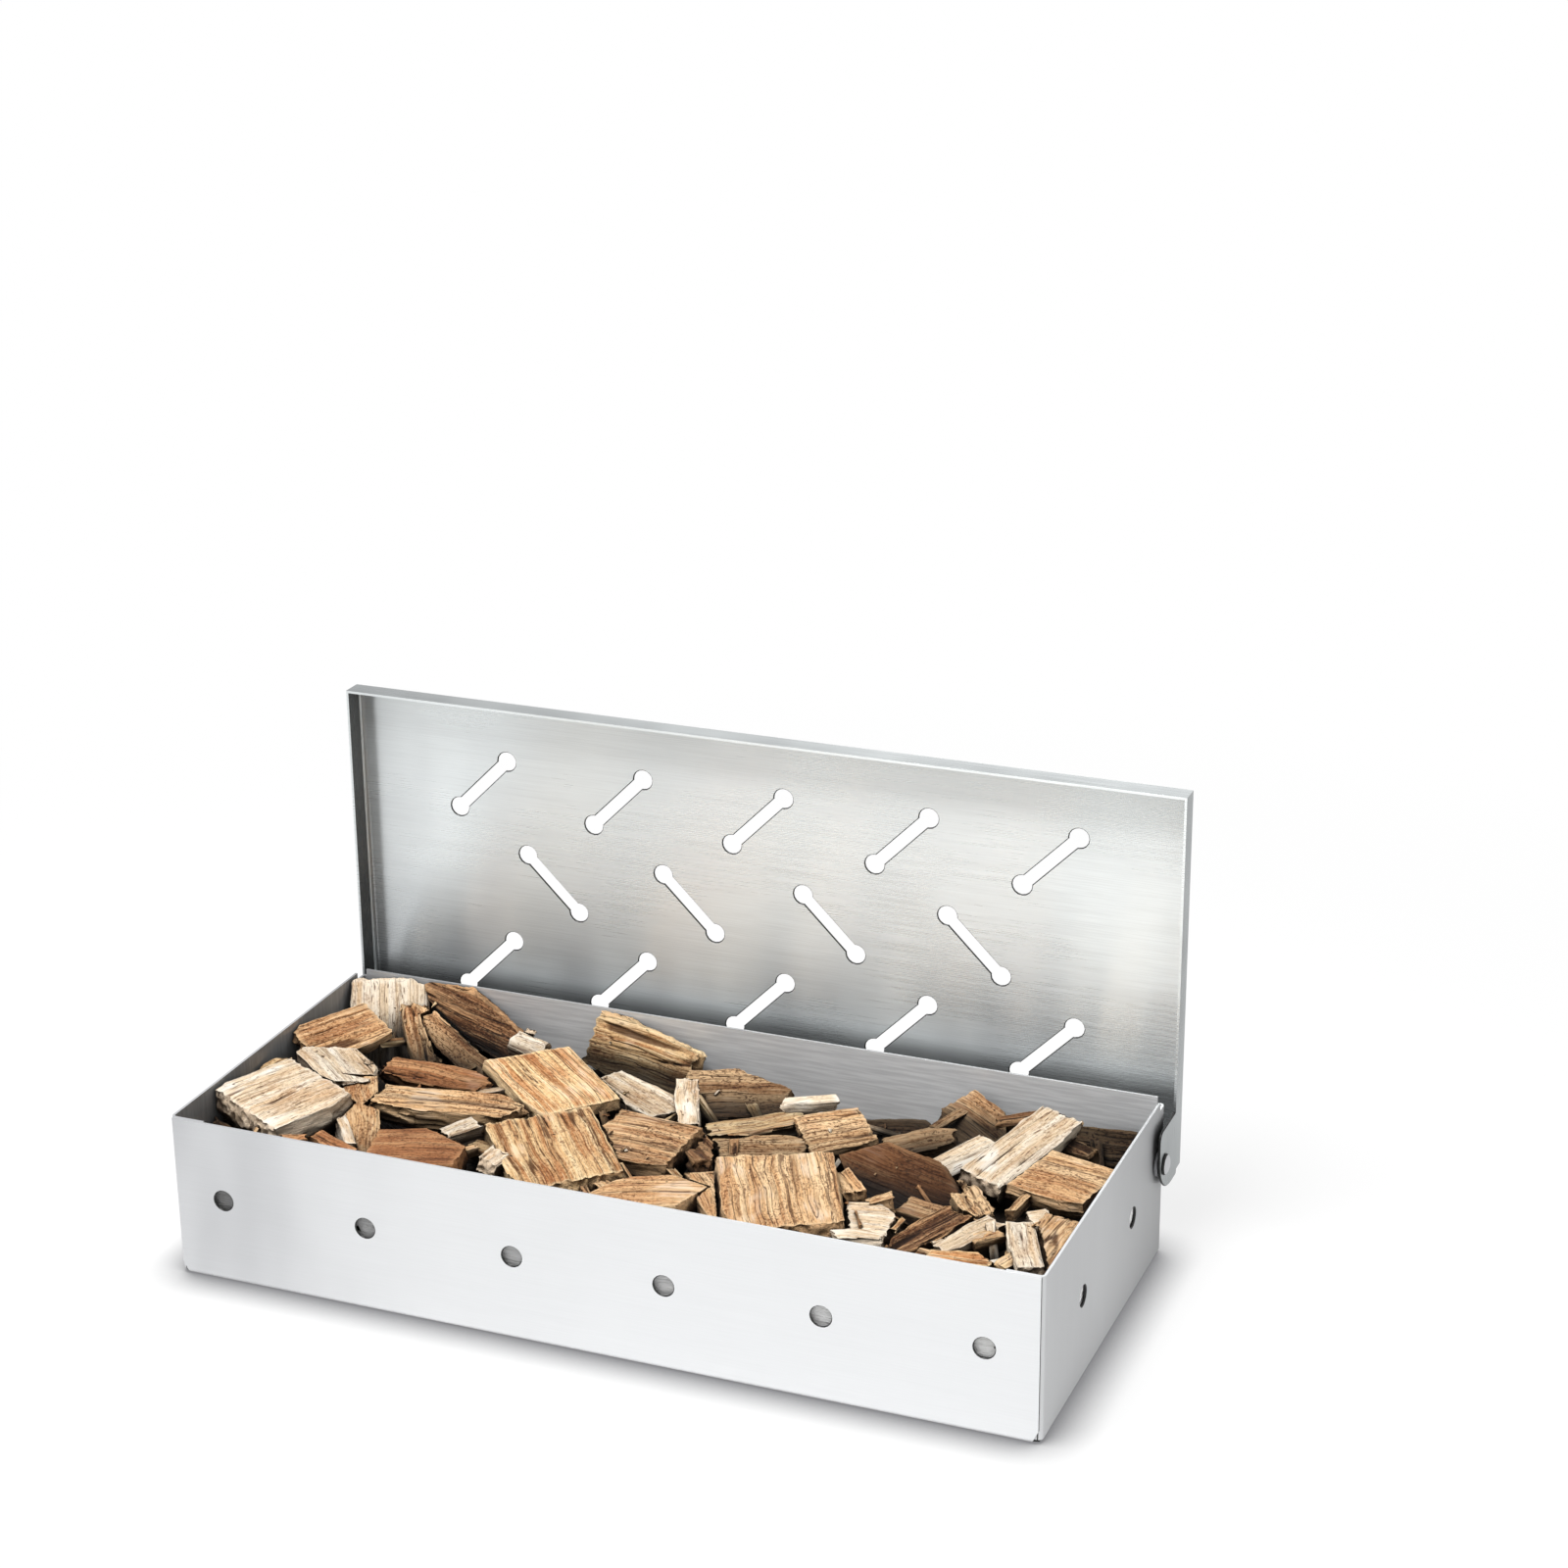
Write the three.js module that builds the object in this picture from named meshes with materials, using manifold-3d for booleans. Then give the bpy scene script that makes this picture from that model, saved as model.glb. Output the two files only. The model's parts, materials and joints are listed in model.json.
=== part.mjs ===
// Grill smoker box: a folded sheet tray with a hinged, slotted lid and a fill of wood chips.
// Millimetres, +Z up. Origin: centre of the tray's underside. Front faces -Y, hinge side +Y.
// The model stands open at a right angle, as the lid rests on its own rear flange.

import * as THREE from 'three';
import { ConvexGeometry } from 'three/addons/geometries/ConvexGeometry.js';
import { mergeVertices } from 'three/addons/utils/BufferGeometryUtils.js';
import Module from 'manifold-3d';

const wasm = await Module();
wasm.setup();

// Sheet
const SHEET = 0.6;
const FOLD_INSIDE = 0.6;
const FOLD_OUTSIDE = FOLD_INSIDE + SHEET;
const FOLD_STEPS = 3;

// Tray
const TRAY_LENGTH = 220;
const TRAY_DEPTH = 96;
const TRAY_HEIGHT = 41.8;
const FRONT_WALL_INSET = 0.7;
const BACK_WALL_INSET = 1.6;
const TAB_LENGTH = 9;
const BACK_TAB_DROP = 2;
const RELIEF_LENGTH = 4;
const RELIEF_HEIGHT = 0.9;
const CORNER_CUT_WIDTH = 1.6;
const CORNER_CUT_HEIGHT = 3.3;

// Air holes in the tray's walls
const HOLE_DIAMETER = 5.1;
const HOLE_HEIGHT = 21.8;
const LONG_HOLE_COUNT = 6;
const LONG_HOLE_PITCH = 38.6;
const END_HOLE_COUNT = 2;
const END_HOLE_PITCH = 40;
const END_HOLE_SHIFT = 2;
const HOLE_SIDES = 20;

// Running clearances between the lid and the tray
const FRONT_RIM_CLEARANCE = 0.3;
const BACK_RIM_CLEARANCE = 0.3;
const REAR_CLEARANCE = 1.1;
const SIDE_CLEARANCE = 1.4;
const STOP_CLEARANCE = 0.3;

// Hinge
const PIVOT_SETBACK = 6.5;
const PIVOT_DROP = 14.8;
const LID_OPENING = 90;
const EAR_WIDTH = 9.5;
const EAR_DROP = 3.9;
const EAR_CORNER = 2.5;
const EAR_ROUND = 11;

// Lid
const LID_FLANGE = 7.3;
const LID_FOLD_INSIDE = 1.4;
const LID_FOLD_OUTSIDE = LID_FOLD_INSIDE + SHEET;
const REAR_CORNER_GAP = 1.4;
const REAR_CORNER_CUT = 1.8;

// Vent slots in the lid
const SLOT_WIDTH = 3.1;
const SLOT_EYE = 5.1;
const SLOT_EYE_SPACING = 20;
const SLOT_ANGLE = 45;
const SLOT_PITCH = 38.4;
const SLOT_ROW_PITCH = 25.1;
const SLOT_ROW_SHIFT = 1;
const SLOT_COUNTS = [5, 4, 5];
const EYE_SIDES = 16;

// Rivets and spacer washers
const RIVET_SHANK = 3;
const RIVET_HEAD = 5.6;
const RIVET_HEAD_HEIGHT = 1.3;
const RIVET_TAIL = 5;
const RIVET_TAIL_HEIGHT = 1;
const RIVET_SEAT_GAP = 0.1;
const SHANK_CLEARANCE = 0.2;
const WASHER_DIAMETER = 6.4;
const WASHER_GAP = 0.3;
const TURNED_SIDES = 24;
const DOME_STEPS = 4;

// Wood chips: the size of the largest one, and the gap left round each
const CHIP_LENGTH = 42;
const CHIP_WIDTH = 24;
const CHIP_THICKNESS = 10;
const CHIP_GAP = 0.3;
const CHIP_MERGE = 0.02;
const CHUNK_LENGTH = 60;
const CHUNK_WIDTH = 36;
const CHUNK_HEIGHT = 30;

// Overrun of every cutter past the sheet that it cuts, and lap of joined stretches of sheet
const OVERRUN = 1;
const LAP = 2;

// Places that follow from the sizes
const halfLength = TRAY_LENGTH / 2;
const frontFace = -TRAY_DEPTH / 2;
const backFace = TRAY_DEPTH / 2;
const backWallFace = backFace - SHEET;
const pivotY = backFace - PIVOT_SETBACK;
const pivotZ = TRAY_HEIGHT - PIVOT_DROP;
const lidHalfLength = halfLength + SIDE_CLEARANCE + SHEET;

// The closed lid about its pivot. Its plate swings clear over the back rim, the edge of its
// front flange swings clear round the front rim, and the rear flange meets the back of the
// tray when the lid is open.
const openTurn = THREE.MathUtils.degToRad(LID_OPENING);
const backRimReach = Math.hypot(PIVOT_SETBACK - SHEET, PIVOT_DROP);
const lidTop = backRimReach + BACK_RIM_CLEARANCE + SHEET;
const flangeEdge = lidTop - LID_FLANGE;
const frontRimReach = Math.hypot(pivotY - frontFace + FRONT_RIM_CLEARANCE, PIVOT_DROP);
const lidFront = -Math.sqrt(frontRimReach ** 2 - flangeEdge ** 2) - SHEET;
const lidRear = backFace + REAR_CLEARANCE + SHEET - pivotY;
const lidMiddle = (lidFront + lidRear) / 2;
const stopCorner = openTurn < Math.PI / 2 ? lidRear - SHEET : lidRear;
const stopReach = PIVOT_SETBACK + STOP_CLEARANCE - stopCorner * Math.cos(openTurn);
const rearFlange = lidTop - stopReach / Math.sin(openTurn);

const X = new THREE.Vector3(1, 0, 0);
const Y = new THREE.Vector3(0, 1, 0);
const Z = new THREE.Vector3(0, 0, 1);
const reversed = (axis) => axis.clone().negate();

// A closed solid from a three.js geometry, its shared vertices merged.
function solid(geometry) {
  const bare = geometry.clone();
  bare.deleteAttribute('normal');
  bare.deleteAttribute('uv');
  const merged = mergeVertices(bare);
  return new wasm.Manifold(new wasm.Mesh({
    numProp: 3,
    vertProperties: new Float32Array(merged.attributes.position.array),
    triVerts: new Uint32Array(merged.index.array),
  }));
}

// A three.js geometry from a closed solid.
function geometryOf(body) {
  const mesh = body.getMesh();
  const geometry = new THREE.BufferGeometry();
  geometry.setAttribute('position', new THREE.BufferAttribute(mesh.vertProperties, 3));
  geometry.setIndex(new THREE.BufferAttribute(mesh.triVerts, 1));
  return geometry;
}

const joined = (bodies) => bodies.reduce((whole, body) => whole.add(body));

// A box between two corners.
function block(low, high) {
  const size = high.map((value, i) => value - low[i]);
  const box = new THREE.BoxGeometry(...size);
  box.translate(...low.map((value, i) => value + size[i] / 2));
  return solid(box);
}

// An outline drawn along the directions u and v, extruded evenly to both sides of its origin.
function extruded(shape, width, u, v, origin, curveSegments = FOLD_STEPS) {
  const geometry = new THREE.ExtrudeGeometry(shape, {
    depth: width,
    bevelEnabled: false,
    curveSegments,
  });
  geometry.translate(0, 0, -width / 2);
  const frame = new THREE.Matrix4().makeBasis(u, v, u.clone().cross(v));
  frame.setPosition(...origin);
  return solid(geometry.applyMatrix4(frame));
}

// A round cutter through a sheet, along the direction axis.
function drill(diameter, axis, origin, sides) {
  const geometry = new THREE.CylinderGeometry(diameter / 2, diameter / 2, SHEET + OVERRUN, sides);
  geometry.applyQuaternion(new THREE.Quaternion().setFromUnitVectors(Y, axis));
  geometry.translate(...origin);
  return solid(geometry);
}

// A piece turned about its own Y axis, from a closed profile of [radius, height] points.
function turned(profile) {
  const points = profile.map(([radius, height]) => new THREE.Vector2(radius, height));
  return new THREE.LatheGeometry(points, TURNED_SIDES);
}

// The places of a row of like features, spaced evenly about its middle.
const row = (count, pitch) => Array.from({ length: count }, (_, i) => (i - (count - 1) / 2) * pitch);

// Section of one fold: a wall standing on the outline's v axis, and the flat that it folds from.
function foldSection(wall, flat, inside = FOLD_INSIDE) {
  const outside = inside + SHEET;
  const shape = new THREE.Shape();
  shape.moveTo(0, wall);
  shape.lineTo(0, outside);
  shape.absarc(outside, outside, outside, Math.PI, Math.PI * 1.5, false);
  shape.lineTo(outside + flat, 0);
  shape.lineTo(outside + flat, SHEET);
  shape.lineTo(outside, SHEET);
  shape.absarc(outside, outside, inside, Math.PI * 1.5, Math.PI, true);
  shape.lineTo(SHEET, wall);
  shape.closePath();
  return shape;
}

// A triangular cutter for a sheet's corner: legs along u and v from the corner, cut along w.
function cornerCutter(alongU, alongV, u, v, corner, width) {
  const shape = new THREE.Shape();
  shape.moveTo(-OVERRUN, -OVERRUN);
  shape.lineTo(alongU + OVERRUN * alongU / alongV, -OVERRUN);
  shape.lineTo(-OVERRUN, alongV + OVERRUN * alongV / alongU);
  shape.closePath();
  return extruded(shape, width, u, v, corner);
}

function trayWalls() {
  const frontHalf = halfLength - FRONT_WALL_INSET;
  const backHalf = halfLength - BACK_WALL_INSET;
  const floor = block(
    [FOLD_OUTSIDE - halfLength, frontFace + FOLD_OUTSIDE, 0],
    [halfLength - FOLD_OUTSIDE, backWallFace - FOLD_OUTSIDE, SHEET],
  );
  const front = extruded(foldSection(TRAY_HEIGHT, LAP), frontHalf * 2, Y, Z, [0, frontFace, 0]);
  const back = extruded(foldSection(TRAY_HEIGHT, LAP), backHalf * 2, reversed(Y), Z, [0, backWallFace, 0]);
  const frontCuts = [-1, 1].map((side) => {
    const u = X.clone().multiplyScalar(-side);
    const corner = [side * frontHalf, frontFace, 0];
    return cornerCutter(CORNER_CUT_WIDTH, CORNER_CUT_HEIGHT, u, Z, corner, FOLD_OUTSIDE * 2);
  });
  return floor.add(back).add(front.subtract(joined(frontCuts)));
}

// An end wall with its floor fold, and the tabs that wrap the front and back corners.
function trayEnd(side) {
  const inward = X.clone().multiplyScalar(-side);
  const x = side * halfLength;
  const floorFold = extruded(
    foldSection(TRAY_HEIGHT, LAP),
    TRAY_DEPTH - RELIEF_LENGTH * 2,
    inward, Z, [x, 0, 0],
  );
  const tab = foldSection(RELIEF_LENGTH + LAP, TAB_LENGTH - FOLD_OUTSIDE);
  const frontTabHeight = TRAY_HEIGHT - RELIEF_HEIGHT;
  const backTabHeight = frontTabHeight - BACK_TAB_DROP;
  const frontTab = extruded(
    tab, frontTabHeight, inward, Y,
    [x, frontFace + SHEET, RELIEF_HEIGHT + frontTabHeight / 2],
  );
  const backTab = extruded(
    tab, backTabHeight, inward, reversed(Y),
    [x, backFace, RELIEF_HEIGHT + backTabHeight / 2],
  );
  return floorFold.add(frontTab).add(backTab);
}

function trayHoles() {
  const longHoles = row(LONG_HOLE_COUNT, LONG_HOLE_PITCH).flatMap((x) =>
    [frontFace + SHEET / 2, backWallFace - SHEET / 2].map((y) =>
      drill(HOLE_DIAMETER, Y, [x, y, HOLE_HEIGHT], HOLE_SIDES)));
  const endHoles = [-1, 1].flatMap((side) =>
    row(END_HOLE_COUNT, END_HOLE_PITCH).map((y) => {
      const x = side * (halfLength - SHEET / 2);
      return drill(HOLE_DIAMETER, X, [x, y + END_HOLE_SHIFT, HOLE_HEIGHT], HOLE_SIDES);
    }));
  const rivetHoles = [-1, 1].map((side) => {
    const x = side * (halfLength - SHEET / 2);
    return drill(RIVET_SHANK + SHANK_CLEARANCE * 2, X, [x, pivotY, pivotZ], TURNED_SIDES);
  });
  return joined([...longHoles, ...endHoles, ...rivetHoles]);
}

// Section of a lid ear, seen from +X, about the pivot: the flange widens into a rounded lug.
function earSection() {
  const shape = new THREE.Shape();
  shape.moveTo(-EAR_WIDTH, flangeEdge + LAP);
  shape.lineTo(-EAR_WIDTH, EAR_CORNER - EAR_DROP);
  shape.absarc(EAR_CORNER - EAR_WIDTH, EAR_CORNER - EAR_DROP, EAR_CORNER, Math.PI, Math.PI * 1.5, false);
  shape.lineTo(lidRear - EAR_ROUND, -EAR_DROP);
  shape.absarc(lidRear - EAR_ROUND, EAR_ROUND - EAR_DROP, EAR_ROUND, Math.PI * 1.5, Math.PI * 2, false);
  shape.lineTo(lidRear, flangeEdge + LAP);
  shape.closePath();
  return shape;
}

// A side flange with its ear, in the lid's closed place about the pivot.
function lidSide(side) {
  const inward = X.clone().multiplyScalar(-side);
  const down = reversed(Z);
  const rear = lidRear - REAR_CORNER_GAP;
  const section = foldSection(LID_FLANGE, LAP, LID_FOLD_INSIDE);
  const flange = extruded(section, rear - lidFront, inward, down, [
    side * lidHalfLength, (lidFront + rear) / 2, lidTop,
  ]);
  const earX = side * (lidHalfLength - SHEET / 2);
  const ear = extruded(earSection(), SHEET, Y, Z, [earX, 0, 0], FOLD_STEPS * 3);
  const bore = drill(RIVET_SHANK + SHANK_CLEARANCE * 2, X, [earX, 0, 0], TURNED_SIDES);
  return flange.add(ear).subtract(bore);
}

// The front flange, as long as the lid, so that its ends close the front corners.
function lidFrontFlange() {
  const section = foldSection(LID_FLANGE, LAP, LID_FOLD_INSIDE);
  return extruded(section, lidHalfLength * 2, Y, reversed(Z), [0, lidFront, lidTop]);
}

// The rear flange, which stops short of the ears, with its corners cut off.
function lidRearFlange() {
  const half = lidHalfLength - REAR_CORNER_GAP;
  const section = foldSection(rearFlange, LAP, LID_FOLD_INSIDE);
  const flange = extruded(section, half * 2, reversed(Y), reversed(Z), [0, lidRear, lidTop]);
  const cuts = [-1, 1].map((side) => {
    const u = X.clone().multiplyScalar(-side);
    const corner = [side * half, lidRear, lidTop - rearFlange];
    return cornerCutter(REAR_CORNER_CUT, REAR_CORNER_CUT, u, Z, corner, LID_FOLD_OUTSIDE * 2);
  });
  return flange.subtract(joined(cuts));
}

// A full block under one rounded fold: seen along the fold, from low to high, its edge at low.
function underFold(low, high, width, u) {
  const shape = new THREE.Shape();
  shape.moveTo(low, -lidTop);
  shape.lineTo(low, lidTop - LID_FOLD_OUTSIDE);
  shape.absarc(
    low + LID_FOLD_OUTSIDE, lidTop - LID_FOLD_OUTSIDE, LID_FOLD_OUTSIDE,
    Math.PI, Math.PI / 2, true,
  );
  shape.lineTo(high, lidTop);
  shape.lineTo(high, -lidTop);
  shape.closePath();
  return extruded(shape, width, u, Z, [0, 0, 0]);
}

// The side and front flanges, each trimmed to the rounded outside of the folds that it meets.
function lidRim() {
  const past = lidHalfLength + OVERRUN;
  const reach = (lidRear - lidFront + OVERRUN) * 2;
  const envelope = underFold(lidFront, lidRear, past * 2, Y)
    .intersect(underFold(-lidHalfLength, past, reach, X))
    .intersect(underFold(-lidHalfLength, past, reach, reversed(X)));
  return joined([lidSide(-1), lidSide(1), lidFrontFlange()]).intersect(envelope);
}

// One vent slot: a straight slot with a larger round eye at each end.
function ventSlot(x, y, angle) {
  const slot = block(
    [-SLOT_EYE_SPACING / 2, -SLOT_WIDTH / 2, -(SHEET + OVERRUN) / 2],
    [SLOT_EYE_SPACING / 2, SLOT_WIDTH / 2, (SHEET + OVERRUN) / 2],
  );
  const eyes = [-1, 1].map((end) => drill(SLOT_EYE, Z, [end * SLOT_EYE_SPACING / 2, 0, 0], EYE_SIDES));
  return joined([slot, ...eyes]).rotate([0, 0, angle]).translate([x, y, lidTop - SHEET / 2]);
}

function lidSlots() {
  const rows = row(SLOT_COUNTS.length, SLOT_ROW_PITCH);
  return joined(rows.flatMap((y, i) => {
    const lean = i % 2 === 0 ? -SLOT_ANGLE : SLOT_ANGLE;
    return row(SLOT_COUNTS[i], SLOT_PITCH).map((x) =>
      ventSlot(x, lidMiddle - SLOT_ROW_SHIFT + y, lean));
  }));
}

function lidPanel() {
  const plate = block(
    [LID_FOLD_OUTSIDE - lidHalfLength, lidFront + LID_FOLD_OUTSIDE, lidTop - SHEET],
    [lidHalfLength - LID_FOLD_OUTSIDE, lidRear - LID_FOLD_OUTSIDE, lidTop],
  );
  return joined([plate, lidRim(), lidRearFlange()]).subtract(lidSlots());
}

// A hinge rivet along +Y: upset tail inside the tray, shank, and a domed head outside the ear.
function rivet() {
  const tail = halfLength - SHEET - RIVET_SEAT_GAP;
  const seat = lidHalfLength + RIVET_SEAT_GAP;
  const dome = Array.from({ length: DOME_STEPS + 1 }, (_, i) => {
    const turn = (i / DOME_STEPS) * Math.PI / 2;
    return [RIVET_HEAD / 2 * Math.cos(turn), seat + RIVET_HEAD_HEIGHT * Math.sin(turn)];
  });
  dome[DOME_STEPS][0] = 0;
  return turned([
    [0, tail - RIVET_TAIL_HEIGHT],
    [RIVET_TAIL / 2, tail - RIVET_TAIL_HEIGHT],
    [RIVET_TAIL / 2, tail],
    [RIVET_SHANK / 2, tail],
    [RIVET_SHANK / 2, seat],
    ...dome,
  ]);
}

// A spacer washer along +Y, between an end wall and the ear outside it.
function washer() {
  const bore = RIVET_SHANK / 2 + SHANK_CLEARANCE;
  const inner = halfLength + WASHER_GAP;
  const outer = halfLength + SIDE_CLEARANCE - WASHER_GAP;
  return turned([
    [bore, inner],
    [WASHER_DIAMETER / 2, inner],
    [WASHER_DIAMETER / 2, outer],
    [bore, outer],
    [bore, inner],
  ]);
}

// Chip outlines in shares of a chip's length and width, seen from above.
const OUTLINE_SHARES = {
  plank: [[-0.5, -0.47], [-0.47, 0.5], [0.48, 0.46], [0.5, -0.42], [0.2, -0.5]],
  wedge: [[-0.5, -0.5], [-0.47, 0.46], [0.02, 0.5], [0.5, 0.08], [0.44, -0.4]],
  splinter: [[-0.5, -0.3], [-0.44, 0.36], [0.3, 0.5], [0.5, 0.16], [0.4, -0.4], [-0.2, -0.5]],
  lump: [[-0.5, -0.2], [-0.4, 0.44], [0.2, 0.5], [0.5, 0.2], [0.42, -0.44], [-0.3, -0.5]],
  stick: [[-0.5, -0.42], [-0.48, 0.46], [0.46, 0.5], [0.5, -0.34], [0, -0.5]],
  shell: [[-0.5, -0.06], [-0.24, 0.44], [0.2, 0.5], [0.5, 0.12], [0.26, -0.4], [-0.22, -0.5]],
};

// Levels of a chip, in shares: height in its thickness, and spread of its outline there.
const LEVEL_SHARES = [[-0.5, 0.88], [0, 1], [0.5, 0.96]];

// Wood tones, from pale sapwood to dark bark.
const WOOD_TONES = {
  pale: '#dcc096',
  straw: '#d2a96c',
  tan: '#bd8a50',
  brown: '#94602f',
  russet: '#8a5230',
  dark: '#6b4326',
};

// The chips on top, nearest the light first. The first shares place a chip's centre in the tray:
// along half its length, along half its depth and up its height. The second give its length,
// width and thickness against the largest chip. The turns are yaw, pitch and roll in degrees.
const TOP_CHIP_SHARES = [
  ['plank', 'pale', [0.765, 0.33, 0.87], [0.95, 0.55, 0.6], [76, 3, 7]],
  ['plank', 'straw', [-0.175, -0.5, 0.84], [0.92, 1.2, 0.8], [-50, -1, 2]],
  ['plank', 'tan', [0.36, -0.55, 0.85], [0.94, 1.25, 0.9], [-63, 0, 1]],
  ['plank', 'pale', [-0.85, -0.48, 0.86], [0.62, 1.22, 0.9], [66, 2, 4]],
  ['plank', 'tan', [0.895, 0.08, 0.88], [0.5, 0.9, 0.5], [-13, 0, 2]],
  ['shell', 'russet', [0.555, -0.05, 0.8], [0.95, 0.72, 0.5], [-22, -3, 42]],
  ['splinter', 'tan', [-0.5, -0.19, 0.84], [1, 0.5, 0.7], [9, -1, 10]],
  ['plank', 'tan', [-0.67, -0.4, 0.8], [0.86, 0.4, 0.6], [-60, -8, 0]],
  ['plank', 'straw', [-0.34, 0.26, 0.82], [0.82, 1.05, 0.6], [-39, -3, -3]],
  ['plank', 'pale', [-0.88, 0.79, 0.73], [0.7, 0.95, 0.6], [-64, -46, 2]],
  ['plank', 'tan', [-0.905, 0.35, 0.87], [0.6, 0.65, 0.45], [62, 3, 20]],
  ['lump', 'pale', [-0.83, 0.0, 0.82], [0.78, 0.75, 0.8], [-43, 4, -8]],
  ['stick', 'dark', [-0.655, 0.88, 0.82], [0.98, 0.5, 0.8], [-25, -17, 52]],
  ['stick', 'brown', [-0.67, 0.66, 0.71], [0.8, 0.35, 0.7], [-32, -12, 30]],
  ['plank', 'straw', [-0.225, 0.86, 0.77], [0.86, 0.72, 0.7], [-15, -7, 66]],
  ['stick', 'tan', [-0.775, 0.68, 0.74], [0.62, 0.38, 0.6], [-53, -20, 0]],
  ['splinter', 'russet', [-0.61, 0.17, 0.79], [0.8, 0.38, 0.6], [0, -2, 18]],
  ['wedge', 'russet', [-0.455, -0.74, 0.83], [0.6, 0.98, 0.8], [17, 0, -2]],
  ['splinter', 'pale', [-0.14, 0.34, 0.79], [0.74, 0.52, 0.5], [-31, 0, 7]],
  ['plank', 'brown', [-0.035, -0.17, 0.8], [0.62, 0.95, 0.7], [-6, 1, 5]],
  ['shell', 'tan', [0.09, -0.74, 0.83], [0.72, 0.82, 0.7], [21, 1, -2]],
  ['splinter', 'tan', [0.225, -0.64, 0.84], [0.62, 0.4, 0.6], [-53, 0, 4]],
  ['wedge', 'dark', [0.08, -0.13, 0.77], [0.55, 0.48, 0.8], [-43, 3, -4]],
  ['stick', 'pale', [-0.01, 0.28, 0.82], [0.55, 0.3, 0.6], [-66, -7, 0]],
  ['wedge', 'brown', [0.05, 0.62, 0.7], [0.7, 0.78, 1], [20, 1, 24]],
  ['splinter', 'straw', [0.16, 0.24, 0.77], [0.66, 0.48, 0.6], [38, 1, -4]],
  ['splinter', 'tan', [0.2, 0.05, 0.75], [0.66, 0.45, 0.6], [24, -1, 6]],
  ['plank', 'tan', [0.34, 0.3, 0.78], [0.45, 0.7, 0.7], [40, 2, 10]],
  ['splinter', 'brown', [0.43, 0.6, 0.66], [0.64, 0.42, 0.6], [12, 0, 30]],
  ['splinter', 'brown', [0.51, 0.4, 0.74], [0.58, 0.38, 0.6], [40, 2, 8]],
  ['lump', 'pale', [0.56, -0.66, 0.83], [0.38, 0.9, 0.8], [12, 0, -3]],
  ['stick', 'dark', [0.69, -0.6, 0.82], [0.66, 0.4, 0.7], [67, 1, 8]],
  ['stick', 'pale', [0.775, -0.55, 0.83], [0.52, 0.3, 0.5], [63, 0, 5]],
  ['stick', 'pale', [0.645, 0.25, 0.8], [0.54, 0.4, 0.5], [64, 3, 8]],
  ['lump', 'brown', [0.6, 0.78, 0.7], [0.5, 0.66, 0.9], [-34, -12, 30]],
  ['stick', 'brown', [0.88, 0.84, 0.68], [0.5, 0.46, 0.6], [2, 0, 50]],
  ['splinter', 'tan', [0.73, -0.21, 0.79], [0.58, 0.38, 0.8], [-56, 0, 4]],
  ['stick', 'pale', [0.9, -0.6, 0.86], [0.58, 0.34, 0.5], [-66, 1, -2]],
  ['plank', 'tan', [0.935, -0.52, 0.84], [0.62, 0.5, 0.6], [84, 1, 4]],
  ['splinter', 'straw', [0.79, -0.83, 0.83], [0.44, 0.4, 0.6], [12, 0, 6]],
  ['lump', 'straw', [-0.95, -0.14, 0.81], [0.38, 0.48, 0.6], [72, 2, 12]],
  ['splinter', 'brown', [-0.93, -0.62, 0.72], [0.5, 0.55, 0.9], [-26, -3, 22]],
];

// The larger chunks underneath, which carry the chips, row by row from the front.
const CHUNK_SHARES = [
  ['plank', 'tan', [-0.75, -0.66, 0.37], [1, 1, 0.94], [4, 2, 3]],
  ['plank', 'brown', [-0.25, -0.66, 0.38], [1, 1, 0.96], [-5, -2, -2]],
  ['plank', 'tan', [0.25, -0.65, 0.38], [1, 1, 0.96], [3, 1, 2]],
  ['plank', 'russet', [0.75, -0.66, 0.38], [1, 1, 0.96], [-4, 2, -3]],
  ['plank', 'brown', [-0.76, 0, 0.37], [1, 1, 0.92], [-6, -2, 2]],
  ['plank', 'straw', [-0.25, 0, 0.37], [1, 1, 0.94], [5, 2, -3]],
  ['plank', 'brown', [0.25, 0, 0.35], [1, 1, 0.9], [-4, -2, 2]],
  ['plank', 'tan', [0.75, 0, 0.36], [1, 1, 0.92], [6, 1, -2]],
  ['plank', 'russet', [-0.75, 0.66, 0.31], [1, 1, 0.78], [5, 2, -3]],
  ['plank', 'tan', [-0.25, 0.66, 0.31], [1, 1, 0.76], [-3, -2, -4]],
  ['plank', 'brown', [0.25, 0.66, 0.3], [1, 1, 0.76], [4, 1, -3]],
  ['plank', 'tan', [0.76, 0.66, 0.31], [1, 1, 0.78], [-5, -2, -2]],
];

// One chip, grown on every side by a margin: its outline at each level, under one skin.
function chipBody(outline, placeShares, size, turns, margin) {
  const [length, width, thickness] = size.map((value) => value + margin * 2);
  const points = LEVEL_SHARES.flatMap(([height, spread]) =>
    OUTLINE_SHARES[outline].map(([along, across]) =>
      new THREE.Vector3(along * length * spread, across * width * spread, height * thickness)));
  const [yaw, pitch, roll] = turns.map(THREE.MathUtils.degToRad);
  const frame = new THREE.Matrix4().makeRotationFromEuler(new THREE.Euler(roll, -pitch, yaw, 'ZYX'));
  frame.setPosition(
    placeShares[0] * halfLength,
    placeShares[1] * TRAY_DEPTH / 2,
    placeShares[2] * TRAY_HEIGHT,
  );
  return solid(new ConvexGeometry(points).applyMatrix4(frame));
}

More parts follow.
